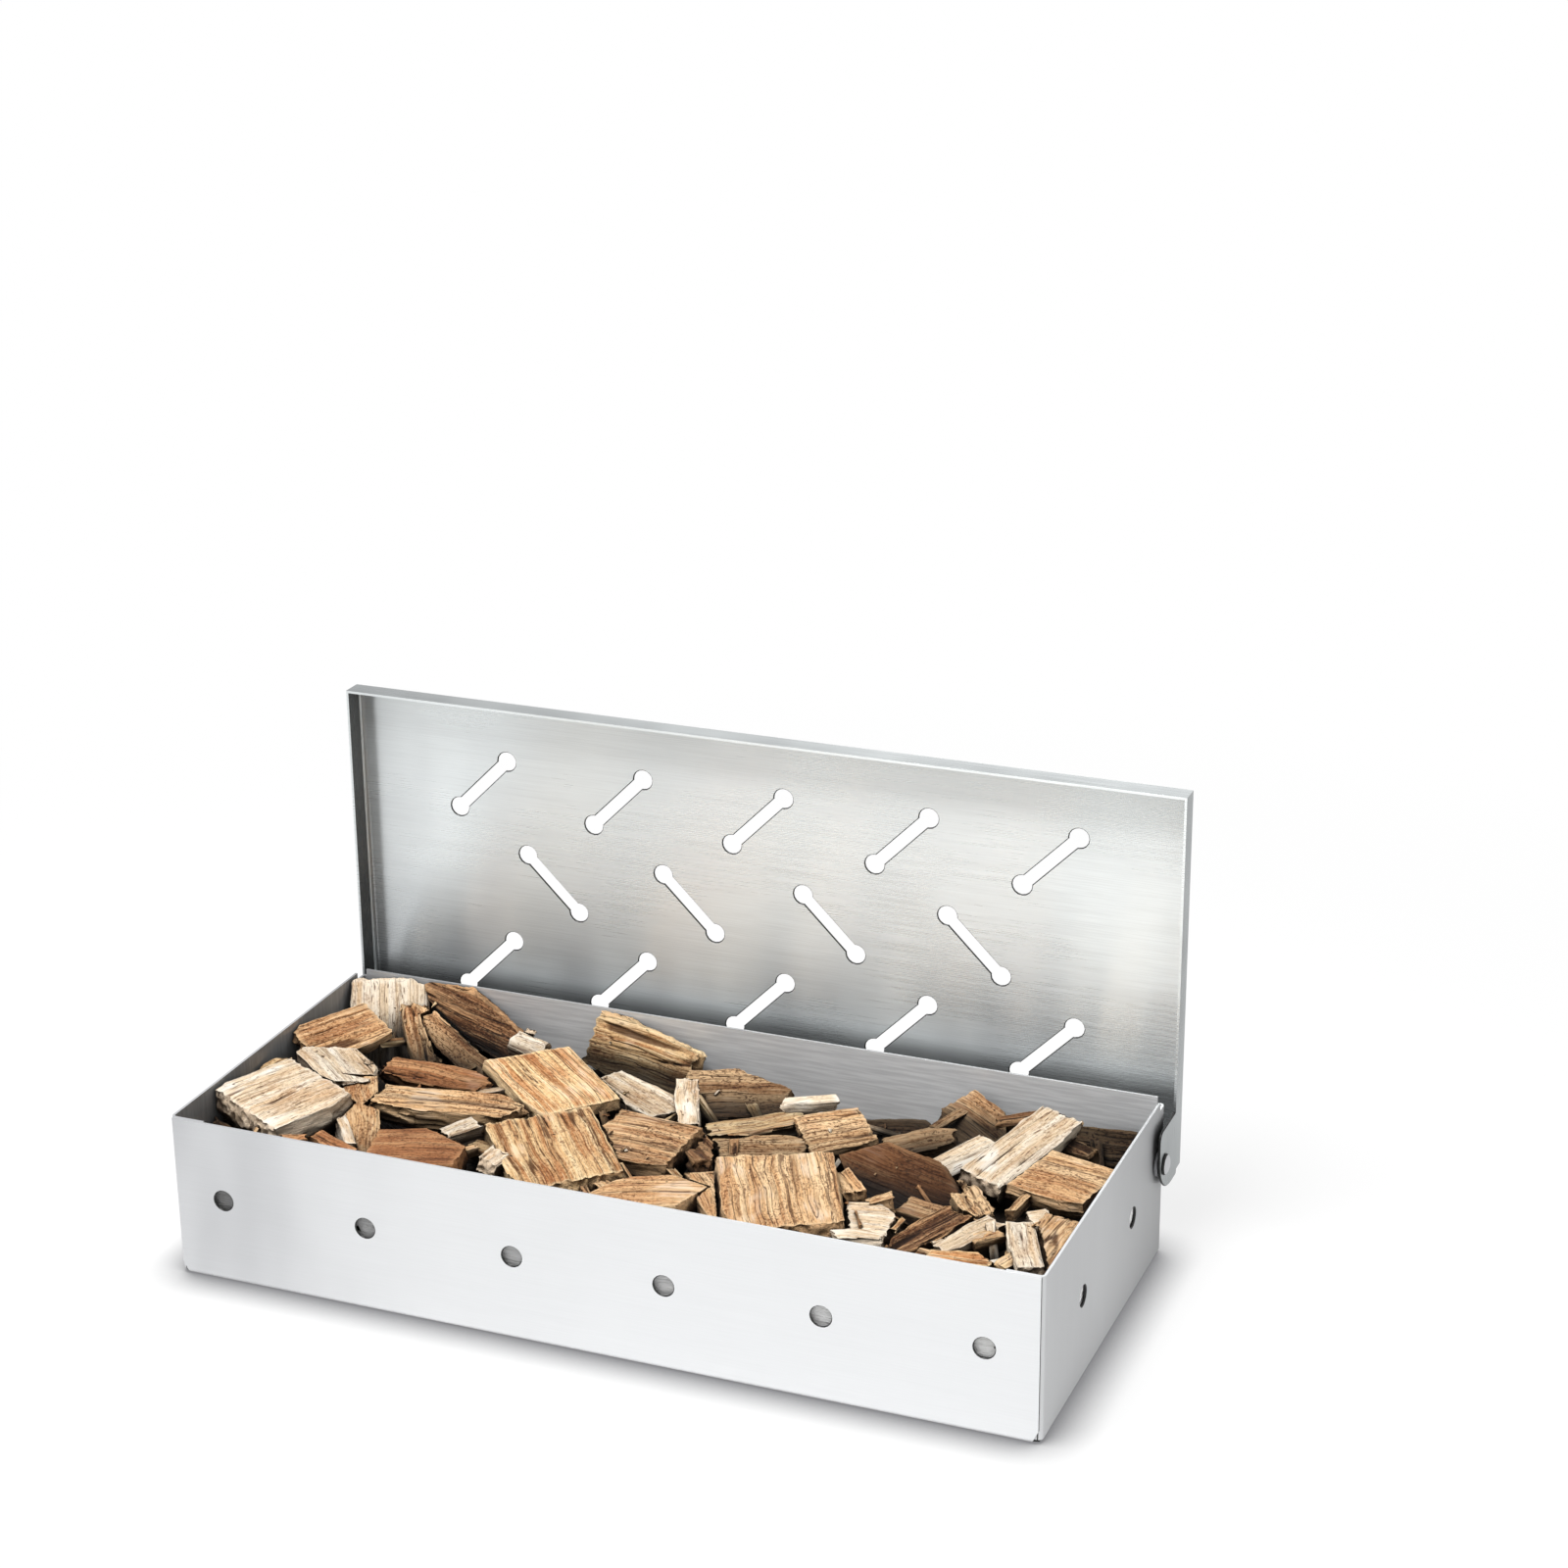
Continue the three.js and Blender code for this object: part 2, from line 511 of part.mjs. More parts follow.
// The room that chips may fill: inside the tray, clear of its sheet and of the rivet tails.
function chipRoom() {
  const clear = SHEET + CHIP_GAP;
  const room = block(
    [clear - halfLength, frontFace + SHEET + clear, clear],
    [halfLength - clear, backWallFace - clear, TRAY_HEIGHT],
  );
  const tails = [-1, 1].map((side) => {
    const reach = RIVET_TAIL_HEIGHT + RIVET_SEAT_GAP + CHIP_GAP;
    const half = RIVET_TAIL / 2 + CHIP_GAP;
    const inner = side * (halfLength - SHEET - reach);
    const outer = side * halfLength;
    return block(
      [Math.min(inner, outer), pivotY - half, pivotZ - half],
      [Math.max(inner, outer), pivotY + half, pivotZ + half],
    );
  });
  return room.subtract(joined(tails));
}

// The largest of the bodies that a cut leaves.
function largest(body) {
  const bodies = body.decompose();
  return bodies.reduce((best, other) => (other.volume() > best.volume() ? other : best));
}

// Every chip, cut back where it would run into the chips listed before it.
function chipBodies() {
  const room = chipRoom();
  const sized = (sizeShares, unit) => sizeShares.map((share, i) => share * unit[i]);
  const chip = [CHIP_LENGTH, CHIP_WIDTH, CHIP_THICKNESS];
  const chunk = [CHUNK_LENGTH, CHUNK_WIDTH, CHUNK_HEIGHT];
  const listed = [
    ...TOP_CHIP_SHARES.map((entry) => [...entry, chip]),
    ...CHUNK_SHARES.map((entry) => [...entry, chunk]),
  ];
  const taken = [];
  return listed.map(([outline, tone, placeShares, sizeShares, turns, unit]) => {
    const size = sized(sizeShares, unit);
    let body = chipBody(outline, placeShares, size, turns, 0).intersect(room);
    taken.forEach((earlier) => {
      body = body.subtract(earlier);
    });
    taken.push(chipBody(outline, placeShares, size, turns, CHIP_GAP));
    return { body: largest(body).simplify(CHIP_MERGE), tone };
  });
}

const steel = (color, roughness) =>
  new THREE.MeshStandardMaterial({ color, roughness, metalness: 1, flatShading: true });
const trayFinish = steel('#c9cbcd', 0.32);
const lidFinish = steel('#bfc1c4', 0.26);
const rivetFinish = steel('#b4b5b8', 0.3);
const washerFinish = steel('#8f9195', 0.4);
const woodFinishes = Object.fromEntries(Object.entries(WOOD_TONES).map(([tone, color]) =>
  [tone, new THREE.MeshStandardMaterial({ color, roughness: 0.85, metalness: 0, flatShading: true })]));

function piece(name, geometry, material) {
  const mesh = new THREE.Mesh(geometry, material);
  mesh.name = name;
  return mesh;
}

const smokerBox = new THREE.Group();

// The tray is one folded sheet.
const trayBody = trayWalls().add(trayEnd(-1)).add(trayEnd(1)).subtract(trayHoles());
smokerBox.add(piece('tray', geometryOf(trayBody), trayFinish));

// The lid turns about the pivot, and is shown open.
const lidHinge = new THREE.Group();
lidHinge.position.set(0, pivotY, pivotZ);
lidHinge.rotation.x = -openTurn;
lidHinge.add(piece('lid', geometryOf(lidPanel()), lidFinish));
smokerBox.add(lidHinge);

// A rivet and a spacer washer carry the lid at each end.
for (const [end, side] of [['left', 1], ['right', -1]]) {
  const axle = new THREE.Group();
  axle.position.set(0, pivotY, pivotZ);
  axle.rotation.z = side * Math.PI / 2;
  axle.add(piece(`hinge_rivet_${end}`, rivet(), rivetFinish));
  axle.add(piece(`spacer_washer_${end}`, washer(), washerFinish));
  smokerBox.add(axle);
}

// The fill of wood lies in the tray.
chipBodies().forEach(({ body, tone }, i) => {
  const top = i < TOP_CHIP_SHARES.length;
  const kind = top ? 'wood_chip' : 'wood_chunk';
  const number = top ? i + 1 : i + 1 - TOP_CHIP_SHARES.length;
  const name = `${kind}_${String(number).padStart(2, '0')}`;
  smokerBox.add(piece(name, geometryOf(body), woodFinishes[tone]));
});

export default smokerBox;
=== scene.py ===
"""Dresses a grill smoker box: brushed sheet steel, a fill of split wood chips and a pale stage."""

import json
import math
import random

import bmesh
import bpy
from bpy.props import FloatProperty, FloatVectorProperty, IntProperty, PointerProperty
from mathutils import Color, Euler, Matrix, Vector, noise
from mathutils.bvhtree import BVHTree

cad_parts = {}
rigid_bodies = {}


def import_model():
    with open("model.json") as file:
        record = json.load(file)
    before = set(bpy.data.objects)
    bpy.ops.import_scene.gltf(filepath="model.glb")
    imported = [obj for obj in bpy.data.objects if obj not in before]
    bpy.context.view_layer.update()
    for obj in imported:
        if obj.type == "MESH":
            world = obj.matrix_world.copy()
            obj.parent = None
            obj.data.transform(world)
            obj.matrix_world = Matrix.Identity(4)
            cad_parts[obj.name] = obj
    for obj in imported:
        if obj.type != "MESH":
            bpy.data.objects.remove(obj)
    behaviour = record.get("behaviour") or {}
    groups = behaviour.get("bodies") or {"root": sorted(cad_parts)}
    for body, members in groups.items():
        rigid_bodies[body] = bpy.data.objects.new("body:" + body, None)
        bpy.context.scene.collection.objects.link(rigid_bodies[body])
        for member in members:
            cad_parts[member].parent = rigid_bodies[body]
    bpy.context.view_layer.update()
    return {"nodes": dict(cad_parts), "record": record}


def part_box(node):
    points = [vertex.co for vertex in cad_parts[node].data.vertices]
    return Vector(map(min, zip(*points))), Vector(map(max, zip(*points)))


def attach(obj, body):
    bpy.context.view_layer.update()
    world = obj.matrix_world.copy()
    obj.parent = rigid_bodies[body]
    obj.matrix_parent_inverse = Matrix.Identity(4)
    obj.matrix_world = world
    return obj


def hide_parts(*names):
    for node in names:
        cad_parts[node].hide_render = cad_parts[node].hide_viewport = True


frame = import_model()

bl_info = {
    "name": "Grill smoker box",
    "version": (1, 0, 0),
    "blender": (4, 5, 0),
    "location": "3D View > Sidebar > Smoker box",
    "description": "Dresses a smoker box in brushed steel and fills it with split wood chips",
    "category": "Object",
}

tray_low, tray_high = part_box("tray")

TRAY_BODY = "tray_body"
LID_BODY = "lid_body"
MILLIMETRE = 0.001
SHEET = 0.6 * MILLIMETRE

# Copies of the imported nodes: corners closer than the distance are merged, and so are faces that
# turn less than the angle
MERGE_DISTANCE = 1e-6
FLAT_ANGLE = math.radians(0.3)

# The faces cut through a sheet: how sharply they meet its face, and how wide they can be
STEEP_ANGLE = math.radians(60)
CUT_WIDTH = 1.1 * SHEET

# A hole is smaller than its reach. A round one has at least this many faces, and is as high as it
# is wide, within a share of its height.
HOLE_REACH = 40 * MILLIMETRE
ROUND_FACES = 12
ROUNDNESS = 0.05

# The cut ends of the long walls are taller than this
SEAM_REACH = 30 * MILLIMETRE

# What each mesh keeps for its material: a map of the brushing, marks on the faces of steel, which
# place its brush strokes and its painted shade and reflection, and marks at the corners of wood,
# one of which carries each chip's tone and its painted shade
BRUSH_MAP = "brush"
FACE_MARKS = ("shaded", "folded", "hollow", "backward", "inward")
WOOD_MARKS = ("relief", "end_grain", "tone_and_shade", "rub")

# Tones of steel faces, each with its place: the folded faces by their depth from front to back,
# and the end faces inside by how far they turn to the end. They are painted reflection and shade:
# the tray's ends darken towards the lid, and the lid's flanges are painted dark and end in a fold
# with painted highlight stripes.
PLAIN = ((0.0, 1.0), (1.0, 1.0))
TRAY_FOLDS = ((tray_low.y, 0.8), (0.0, 0.76), (tray_high.y, 0.55))
TRAY_HOLLOWS = ((0.0, 1.0), (1.0, 0.5))
LID_FOLDS = ((0.0, 0.6), (1.0, 0.6))
LID_HOLLOWS = (
    (0.0, 1.0), (0.5, 1.0), (0.6, 0.4), (0.8, 0.4), (0.9, 1.0), (0.993, 1.0), (0.998, 0.16),
    (1.0, 0.16),
)

# The tone of the strokes that show on the walls' inside
DRAG_TONE = (0.45, 0.45, 0.46)

# Painted shade and reflection on the sheet, darker towards the left end and, on the lid, towards
# the bottom: the map direction in which it fades, the places where it is full and where it ends,
# and its share
PAINTED_SHADE_TONE = (0.3, 0.3, 0.32)
PAINTED_SHADE_END = tray_low.x * 0.3
TRAY_PAINTED_SHADE = [("Y", tray_low.x, PAINTED_SHADE_END, 0.5)]
LID_PAINTED_SHADE = [("Y", tray_low.x, PAINTED_SHADE_END, 0.34), ("X", 42 * MILLIMETRE, 74 * MILLIMETRE, 0.62)]

# The shade on the open lid behind the tray's rim: the height where it is full, the height where
# it ends, and its share
LID_RIM_SHADE = (36.5 * MILLIMETRE, 44 * MILLIMETRE, 0.85)

# Patterns left by the brush: counts for one line's width across it and for one stroke's length
# along it, then the detail and the roughness of the noise
BRUSH_PATTERNS = {
    "lines": (1, 1, 3, 0.7),
    "bands": (1 / 12, 1 / 2, 2, 0.55),
    "drags": (1 / 3, 1.6, 3, 0.55),
    "scuffs": (1.7, 5, 2, 0.55),
}

# Patterns over the whole sheet: counts to the metre across the brushing and along it, then the
# detail of the noise
SHEET_PATTERNS = {
    "clouds": ((26, 16, 1), 3),
    "wisps": ((9, 30, 1), 2),
}

# The room that the wood may fill: its distance from the sheet, and its rise over the rim
WOOD_CLEARANCE = 0.15 * MILLIMETRE
WOOD_RISE = 0.5 * MILLIMETRE

# The wood tones, each with the colours of its late wood, its stained stripes, its body and its
# pale early wood
WOOD_TONES = {
    "grey": ((0.68, 0.67, 0.65), (0.86, 0.86, 0.85), (0.92, 0.92, 0.92), (0.97, 0.97, 0.97)),
    "pale": ((0.55, 0.40, 0.28), (0.84, 0.70, 0.54), (0.92, 0.84, 0.72), (0.99, 0.96, 0.90)),
    "straw": ((0.46, 0.28, 0.15), (0.79, 0.56, 0.36), (0.91, 0.76, 0.56), (0.99, 0.90, 0.73)),
    "tan": ((0.42, 0.26, 0.15), (0.74, 0.53, 0.35), (0.88, 0.71, 0.52), (0.97, 0.85, 0.68)),
    "brown": ((0.32, 0.19, 0.11), (0.61, 0.43, 0.28), (0.79, 0.62, 0.45), (0.92, 0.79, 0.62)),
    "russet": ((0.24, 0.13, 0.07), (0.53, 0.33, 0.20), (0.68, 0.46, 0.30), (0.82, 0.63, 0.45)),
    "dark": ((0.15, 0.08, 0.04), (0.36, 0.22, 0.13), (0.56, 0.39, 0.26), (0.86, 0.69, 0.51)),
}

# How strongly each tone shows stripes, grain lines, pores, mottling, bleached patches and the
# painted shade in its clefts
WOOD_FIGURES = {
    "grey": (0.30, 0.10, 0.10, 0.10, 0.5, 0.0),
    "pale": (0.40, 0.45, 0.80, 0.45, 0.9, 0.97),
    "straw": (0.90, 0.90, 0.50, 0.60, 0.2, 0.97),
    "tan": (0.65, 0.80, 0.60, 0.85, 0.3, 0.97),
    "brown": (0.70, 0.85, 0.60, 0.95, 0.1, 0.97),
    "russet": (0.45, 0.45, 0.50, 0.60, 0.1, 0.97),
    "dark": (0.80, 0.90, 0.60, 0.80, 0.0, 0.97),
}

# Patterns in the wood: counts to the metre along the grain, across it and through it, then the
# detail and the roughness of the noise. Fibres sway, and specks don't.
FIBRE_PATTERNS = {
    "stripes": ((7, 300, 300), 2, 0.6),
    "rings": ((5, 380, 380), 2, 0.45),
    "hairs": ((9, 950, 950), 1),
    "streaks": ((26, 1000, 1000), 3, 0.65),
    "fibres": ((130, 3300, 3300), 2),
    "pores": ((300, 2300, 2300), 1),
}
SPECK_PATTERNS = {
    "pits": ((420, 520, 520), 1),
    "patches": ((60, 110, 110), 2),
    "mottle": ((1100, 1700, 1700), 3, 0.7),
}
FIBRE_SWAY = (0.0, 3.5 * MILLIMETRE, 3.5 * MILLIMETRE)
BLEACHED = (0.93, 0.91, 0.86)
END_TONE = (1.0, 0.80, 0.58)
WARM_TONE = (1.0, 0.965, 0.93)
# The painted shade in the wood's clefts
CREVICE_SHADE_TONE = (0.05, 0.035, 0.025)

# How a chip was split: depth of its ridges, height of its ledges, depth of its cracks,
# raggedness of its ends and sway of its faces, all in millimetres
CUTS = {
    "sawn": (0.10, 0.06, 0.4, 0.4, 0.25),
    "split": (0.20, 0.28, 0.7, 1.0, 0.45),
    "torn": (0.36, 0.60, 1.0, 1.7, 0.8),
    "shell": (0.06, 0.00, 0.15, 0.4, 0.7),
}

# Noises that shape split wood: counts to the metre, then shifts that keep the noises apart. Those
# down to the slants are taken along the grain, across it and through it, the tears across and
# through, and the chews along and through.
RIBS = ((16, 560, 560), (0, 0, 0))
FINE_RIBS = ((40, 1500, 1500), (5, 8.5, -5))
SHELVES = ((12, 190, 190), (31, 52.7, -31))
CRACKS = ((9, 230, 230), (12, 20.4, -12))
CRACK_ENDS = ((60, 60, 60), (77, 130.9, -77))
SWELLS = ((70, 90, 90), (17, 28.9, -17))
BENDS = ((45, 0, 0), (0, 3.1, 7.7))
SLANTS = ((50, 0, 0), (0, 4.3, 8.1))
TEARS = ((420, 420, 0), (0, 0, 2.7))
FINE_TEARS = ((1200, 1200, 0), (0, 0, 9.1))
CHEWS = ((160, 420, 0), (0, 0, 5.9))

# How far the fibres bend, how wide a crack is as a share of its noise, and the height of a ridge
# whose relief shows in full
BEND = 1.2 * MILLIMETRE
CRACK_WIDTH = 0.07
FULL_RIDGE = 0.25 * MILLIMETRE

# How much lighter or darker than its tone a chip may be, and how far apart two chips lie in the
# pattern of the grain, in metres for each step of the seed
TINTS = (0.86, 1.08)
GRAIN_STEPS = (0.137, 0.211, 0.173)

# Two faces look the same way when the cosine of their turn is more than this
SAME_WAY = 0.99

# The light that a chip sends back from its back edge and from its front edge, with no painted shade
FULL_LIGHTS = (1.0, 1.0)

# How close to its middle the corners of a loose bit may be drawn, in shares of its length, width
# and thickness
TAPER = (0.72, 0.6, 0.6)

# Degrees between the grain of one chunk underneath and the next
CHUNK_TURN = 37

# The chips on top with painted shade, darker than their tone, with the share of light that they
# send back from their back edge and from their front edge
SHADED_CHIPS = {
    6: (0.6, 0.06), 13: (0.9, 0.9), 17: (0.85, 0.85), 18: (0.9, 0.9), 23: (0.7, 0.7),
    32: (0.85, 0.85), 42: (0.7, 0.7),
}

# How the painted shade in the heap deepens: wood has its full light down to the first depth under
# the rim, and the under light from the second depth at the left end, or the third at the right
SHADE_DEPTHS = (5.5 * MILLIMETRE, 12 * MILLIMETRE, 8 * MILLIMETRE)

# The chips on top: the heading of the grain in degrees from +X, and how each was split
TOP_CHIPS = [
    (76, "split"), (-50, "split"), (-63, "split"), (66, "split"), (-13, "sawn"), (-22, "shell"),
    (9, "torn"), (-60, "sawn"), (-39, "shell"), (-64, "split"), (62, "split"), (-43, "split"),
    (-25, "torn"), (-32, "torn"), (-15, "torn"), (-53, "torn"), (0, "torn"), (17, "shell"),
    (-31, "split"), (-6, "split"), (21, "shell"), (-53, "sawn"), (-43, "torn"), (-66, "split"),
    (20, "split"), (38, "torn"), (24, "torn"), (40, "split"), (12, "torn"), (40, "torn"),
    (12, "split"), (67, "torn"), (63, "split"), (64, "sawn"), (-34, "split"), (2, "split"),
    (-56, "torn"), (-66, "split"), (84, "split"), (12, "torn"), (72, "split"), (-26, "torn"),
]

# Small chips that lie between the large ones: tone, place in millimetres, size in millimetres,
# and yaw, pitch and roll in degrees
SMALL_CHIPS = [
    ("russet", (-71, -38.4, 36.5), (17, 5.8, 4), (-27, 0, 6)),
    ("pale", (-72.4, -29.6, 34.5), (18.7, 4.6, 5), (-52, 0, 0)),
    ("tan", (50, -11.6, 35), (16, 6.7, 5), (-50, 0, 8)),
    ("brown", (70.9, -16.8, 34), (13, 9.2, 5), (-16, 0, 4)),
    ("tan", (88.4, -24.8, 35), (11, 8.7, 6), (48, 0, 7)),
    ("tan", (92.1, -8, 36.8), (18.1, 3.2, 3.4), (87, -3, 0)),
    ("russet", (85.4, 2, 33), (12, 8.6, 5), (-6, 0, 13)),
    ("pale", (98.5, -14, 35.5), (7, 11.8, 4), (34, 0, 5)),
    ("pale", (-53.8, 33.2, 33.5), (13, 8, 6), (-12, -6, 30)),
    ("pale", (-44.6, -21.7, 36.6), (11.5, 7, 4.5), (52, 4, 6)),
    ("tan", (-40.3, -29, 35.6), (9, 4.5, 3.5), (62, 0, -8)),
    ("pale", (-30.5, -33.6, 37.2), (8.5, 7.6, 5), (80, 0, 6)),
    ("russet", (-80.7, -39.9, 36.8), (9, 4.2, 4), (18, 0, 10)),
    ("pale", (27, 25, 35.6), (17, 5, 3.4), (22, 3, 6)),
    ("tan", (62, -20.6, 37), (9, 7, 5), (35, 4, -12)),
    ("dark", (75.8, 37.1, 33.5), (14, 6, 5), (30, 2, 24)),
    ("brown", (94.7, 27.8, 33), (12, 6, 5), (-20, 0, 20)),
    ("straw", (98, -35.5, 36.2), (10, 4.5, 4), (70, 0, 4)),
    ("brown", (-97, -43.4, 34.5), (16, 4.5, 5), (4, 0, -14)),
    ("straw", (-36, -24, 33.5), (16, 6, 5), (-8, 0, 5)),
    ("brown", (-46, 12, 33), (18, 7, 5), (-28, 0, 10)),
    ("tan", (2, -36, 36), (14, 5, 4), (-30, 0, 6)),
]

# The first seeds of the small chips and of the chips behind the air holes
SMALL_CHIP_SEED = 300
HOLE_CHIP_SEED = 700

# The chip behind each air hole, and the light it sends back from the left end to the right, which is
# painted light and shade
HOLE_CHIP = (11 * MILLIMETRE, 9 * MILLIMETRE, 1.4 * MILLIMETRE)
HOLE_LIGHTS = (0.2, 1.3)

# Bits and crumbs that have dropped into the gaps: how many, the least and the greatest length,
# width and thickness in millimetres, how coarse their mesh is, the share that may lie outside a
# gap, and the first seed
LOOSE_BITS = [
    (60, ((6, 16), (1.6, 4.5), (1.2, 2.6)), 1.2, 0.0, 1000),
    (90, ((0.9, 3.4), (0.6, 1.7), (0.4, 1.1)), 1.0, 0.01, 3000),
]
TONE_WEIGHTS = (4, 4, 4, 3, 2, 2)

# The heap under them: the width of a cell, the height from which it is measured, the places
# along and across a bit where it rests, and how many places along and across it are raised
HEAP_CELL = 1.0 * MILLIMETRE
DROP_HEIGHT = 1.0
REST_SPOTS = (-0.4, 0.0, 0.4)
COVERED = (7, 5)

# Where a bit may come to rest: how far from the walls, how far around it the heap is looked at
# and in which directions, how deep a gap is and how far the bit stands up in shares of its
# thickness, the steepest lean, and the tries for each bit
WALL_GAP = 3 * MILLIMETRE
GAP_REACH = 7 * MILLIMETRE
AROUND = ((1, 0), (-1, 0), (0, 1), (0, -1), (0.7, 0.7), (-0.7, -0.7))
GAP_DEPTH = 0.7
BIT_RISE = 0.8
BIT_MIDDLE = 0.32
STEEPEST = 0.9
TRIES = 60

# The room at the back wall that stays free of bits
CLEAR_LOW = Vector((-6, 38.5, 0)) * MILLIMETRE
CLEAR_HIGH = Vector((56, 48, 60)) * MILLIMETRE

# The stage: the floor's half width, its distance under the box and the depth of its contact
# shade, the place and the width of each lamp, the point that both lamps look at, and the
# camera's sensor and nearest distance
FLOOR_REACH = 6.0
FLOOR_GAP = 0.1 * MILLIMETRE
CONTACT_DEPTH = 2.0
KEY_LAMP = ((-0.15, -0.36, 1.1), 0.5)
FILL_LAMP = ((0.8, -0.5, 0.7), 0.6)
LAMP_AIM = (0, 0, 0.03)
SENSOR_WIDTH = 36
CAMERA_NEAR = 0.01


class SmokerSteelSettings(bpy.types.PropertyGroup):
    """Sizes and colours of the sheet steel."""

    tray_colour: FloatVectorProperty(
        name="Tray", description="Colour of the tray's sheet", subtype="COLOR_GAMMA",
        min=0, max=1, default=(0.895, 0.9, 0.905))
    lid_colour: FloatVectorProperty(
        name="Lid", description="Colour of the lid's sheet", subtype="COLOR_GAMMA",
        min=0, max=1, default=(0.98, 1.0, 1.0))
    rivet_colour: FloatVectorProperty(
        name="Rivets", description="Colour of the hinge rivets", subtype="COLOR_GAMMA",
        min=0, max=1, default=(0.82, 0.82, 0.83))
    washer_colour: FloatVectorProperty(
        name="Washers", description="Colour of the spacer washers", subtype="COLOR_GAMMA",
        min=0, max=1, default=(0.62, 0.62, 0.63))
    roughness: FloatProperty(
        name="Roughness", description="Roughness of the brushed sheet", subtype="FACTOR",
        min=0, max=1, default=0.3)
    bareness: FloatProperty(
        name="Bareness", description="Share of bare metal in the satin finish", subtype="FACTOR",
        min=0, max=1, default=0.6)
    line_width: FloatProperty(
        name="Brush line", description="Width of one line left by the brush", unit="LENGTH",
        default=0.28 * MILLIMETRE)
    line_length: FloatProperty(
        name="Brush stroke", description="Length of one line left by the brush", unit="LENGTH",
        default=24 * MILLIMETRE)
    cut_edge: FloatProperty(
        name="Cut edge", description="Width of the burr rubbed off each cut edge", unit="LENGTH",
        default=0.12 * MILLIMETRE)
    punched_edge: FloatProperty(
        name="Punched edge", description="Width of the dark rim round each punched hole",
        unit="LENGTH", default=0.22 * MILLIMETRE)
    sharp_angle: FloatProperty(
        name="Sharp angle", description="Edges that turn more than this stay crisp",
        subtype="ANGLE", default=math.radians(35))


class SmokerWoodSettings(bpy.types.PropertyGroup):
    """Fineness of the wood."""

    strip: FloatProperty(
        name="Strip", description="Width of one strip of fibres in a chip's mesh",
        unit="LENGTH", default=0.45 * MILLIMETRE)
    stretch: FloatProperty(
        name="Stretch", description="Length of one face along the grain",
        unit="LENGTH", default=1.3 * MILLIMETRE)
    under_share: FloatProperty(
        name="Under layer", description="How much coarser the chunks underneath are",
        min=1, default=3)
    # The painted shade of wood deep in the heap
    under_light: FloatProperty(
        name="Under light", description="Share of its colour that wood deep in the heap shows",
        subtype="FACTOR", min=0, max=1, default=0.1)
    end_reach: FloatProperty(
        name="End reach", description="Length of a chip's end that is torn",
        unit="LENGTH", default=4 * MILLIMETRE)
    side_reach: FloatProperty(
        name="Side reach", description="Width of a chip's side that is frayed",
        unit="LENGTH", default=1.6 * MILLIMETRE)
    edge_wear: FloatProperty(
        name="Edge wear", description="How far a chip's edges are rubbed down",
        unit="LENGTH", default=0.3 * MILLIMETRE)
    sharp_angle: FloatProperty(
        name="Sharp angle", description="Edges that turn more than this stay crisp",
        subtype="ANGLE", default=math.radians(48))
    seed: IntProperty(name="Seed", description="Start of the random draws", default=7)


class SmokerStageSettings(bpy.types.PropertyGroup):
    """Floor, light and camera."""

    floor_colour: FloatVectorProperty(
        name="Floor", description="Colour of the floor", subtype="COLOR_GAMMA",
        min=0, max=1, default=(0.97, 0.97, 0.97))
    floor_glow: FloatProperty(
        name="Floor glow", description="Share of the floor seen as plain white", subtype="FACTOR",
        min=0, max=1, default=0.78)
    # The painted contact shadow on the floor: its width and its colour
    contact_reach: FloatProperty(
        name="Contact reach", description="Width of the shade on the floor close to the box",
        unit="LENGTH", default=12 * MILLIMETRE)
    contact_shadow_colour: FloatVectorProperty(
        name="Contact", description="Colour of the floor where the box touches it",
        subtype="COLOR_GAMMA", min=0, max=1, default=(0.58, 0.58, 0.59))
    shadow_reach: FloatProperty(
        name="Shadow reach", description="Distance from the box at which the floor is plain white",
        unit="LENGTH", default=0.45)
    ambient: FloatProperty(
        name="Ambient", description="Strength of the light from all round", default=0.4)
    key_power: FloatProperty(
        name="Key light", description="Power of the large light above, in watts", default=13)
    fill_power: FloatProperty(
        name="Fill light", description="Power of the light on the right, in watts", default=0.8)
    camera_place: FloatVectorProperty(
        name="Camera", description="Place of the camera", subtype="TRANSLATION", unit="LENGTH",
        default=(0.293526, -0.646091, 0.3892))
    camera_azimuth: FloatProperty(
        name="Azimuth", description="Turn of the camera round the box", subtype="ANGLE",
        default=math.radians(22.132))
    camera_elevation: FloatProperty(
        name="Elevation", description="Height of the camera's view", subtype="ANGLE",
        default=math.radians(20.467))
    camera_roll: FloatProperty(
        name="Roll", description="Roll of the camera", subtype="ANGLE",
        default=math.radians(-0.566))
    focal_length: FloatProperty(
        name="Focal length", description="Focal length on a 36 mm sensor, in millimetres",
        default=74.84)


# Materials

def linear(colour):
    """A display colour as the shader's own linear values."""
    return Color(colour).from_srgb_to_scene_linear()[:]


def darkened(colour, share):
    """A colour brought nearer to black."""
    return tuple(channel * share for channel in colour)


def grey(tone):
    """A grey of one tone."""
    return (tone, tone, tone)


def feed(tree, socket, value):
    """Feed a socket from another one, or with a value."""
    if isinstance(value, bpy.types.NodeSocket):
        tree.links.new(value, socket)
    elif isinstance(socket, bpy.types.NodeSocketColor):
        socket.default_value = (*value, 1.0)
    else:
        socket.default_value = value


def add_node(tree, kind, feeds=None, **settings):
    """A node with its settings and the feeds of its inputs."""
    made = tree.nodes.new(kind)
    for key, value in settings.items():
        setattr(made, key, value)
    for name, value in (feeds or {}).items():
        feed(tree, made.inputs[name], value)
    return made


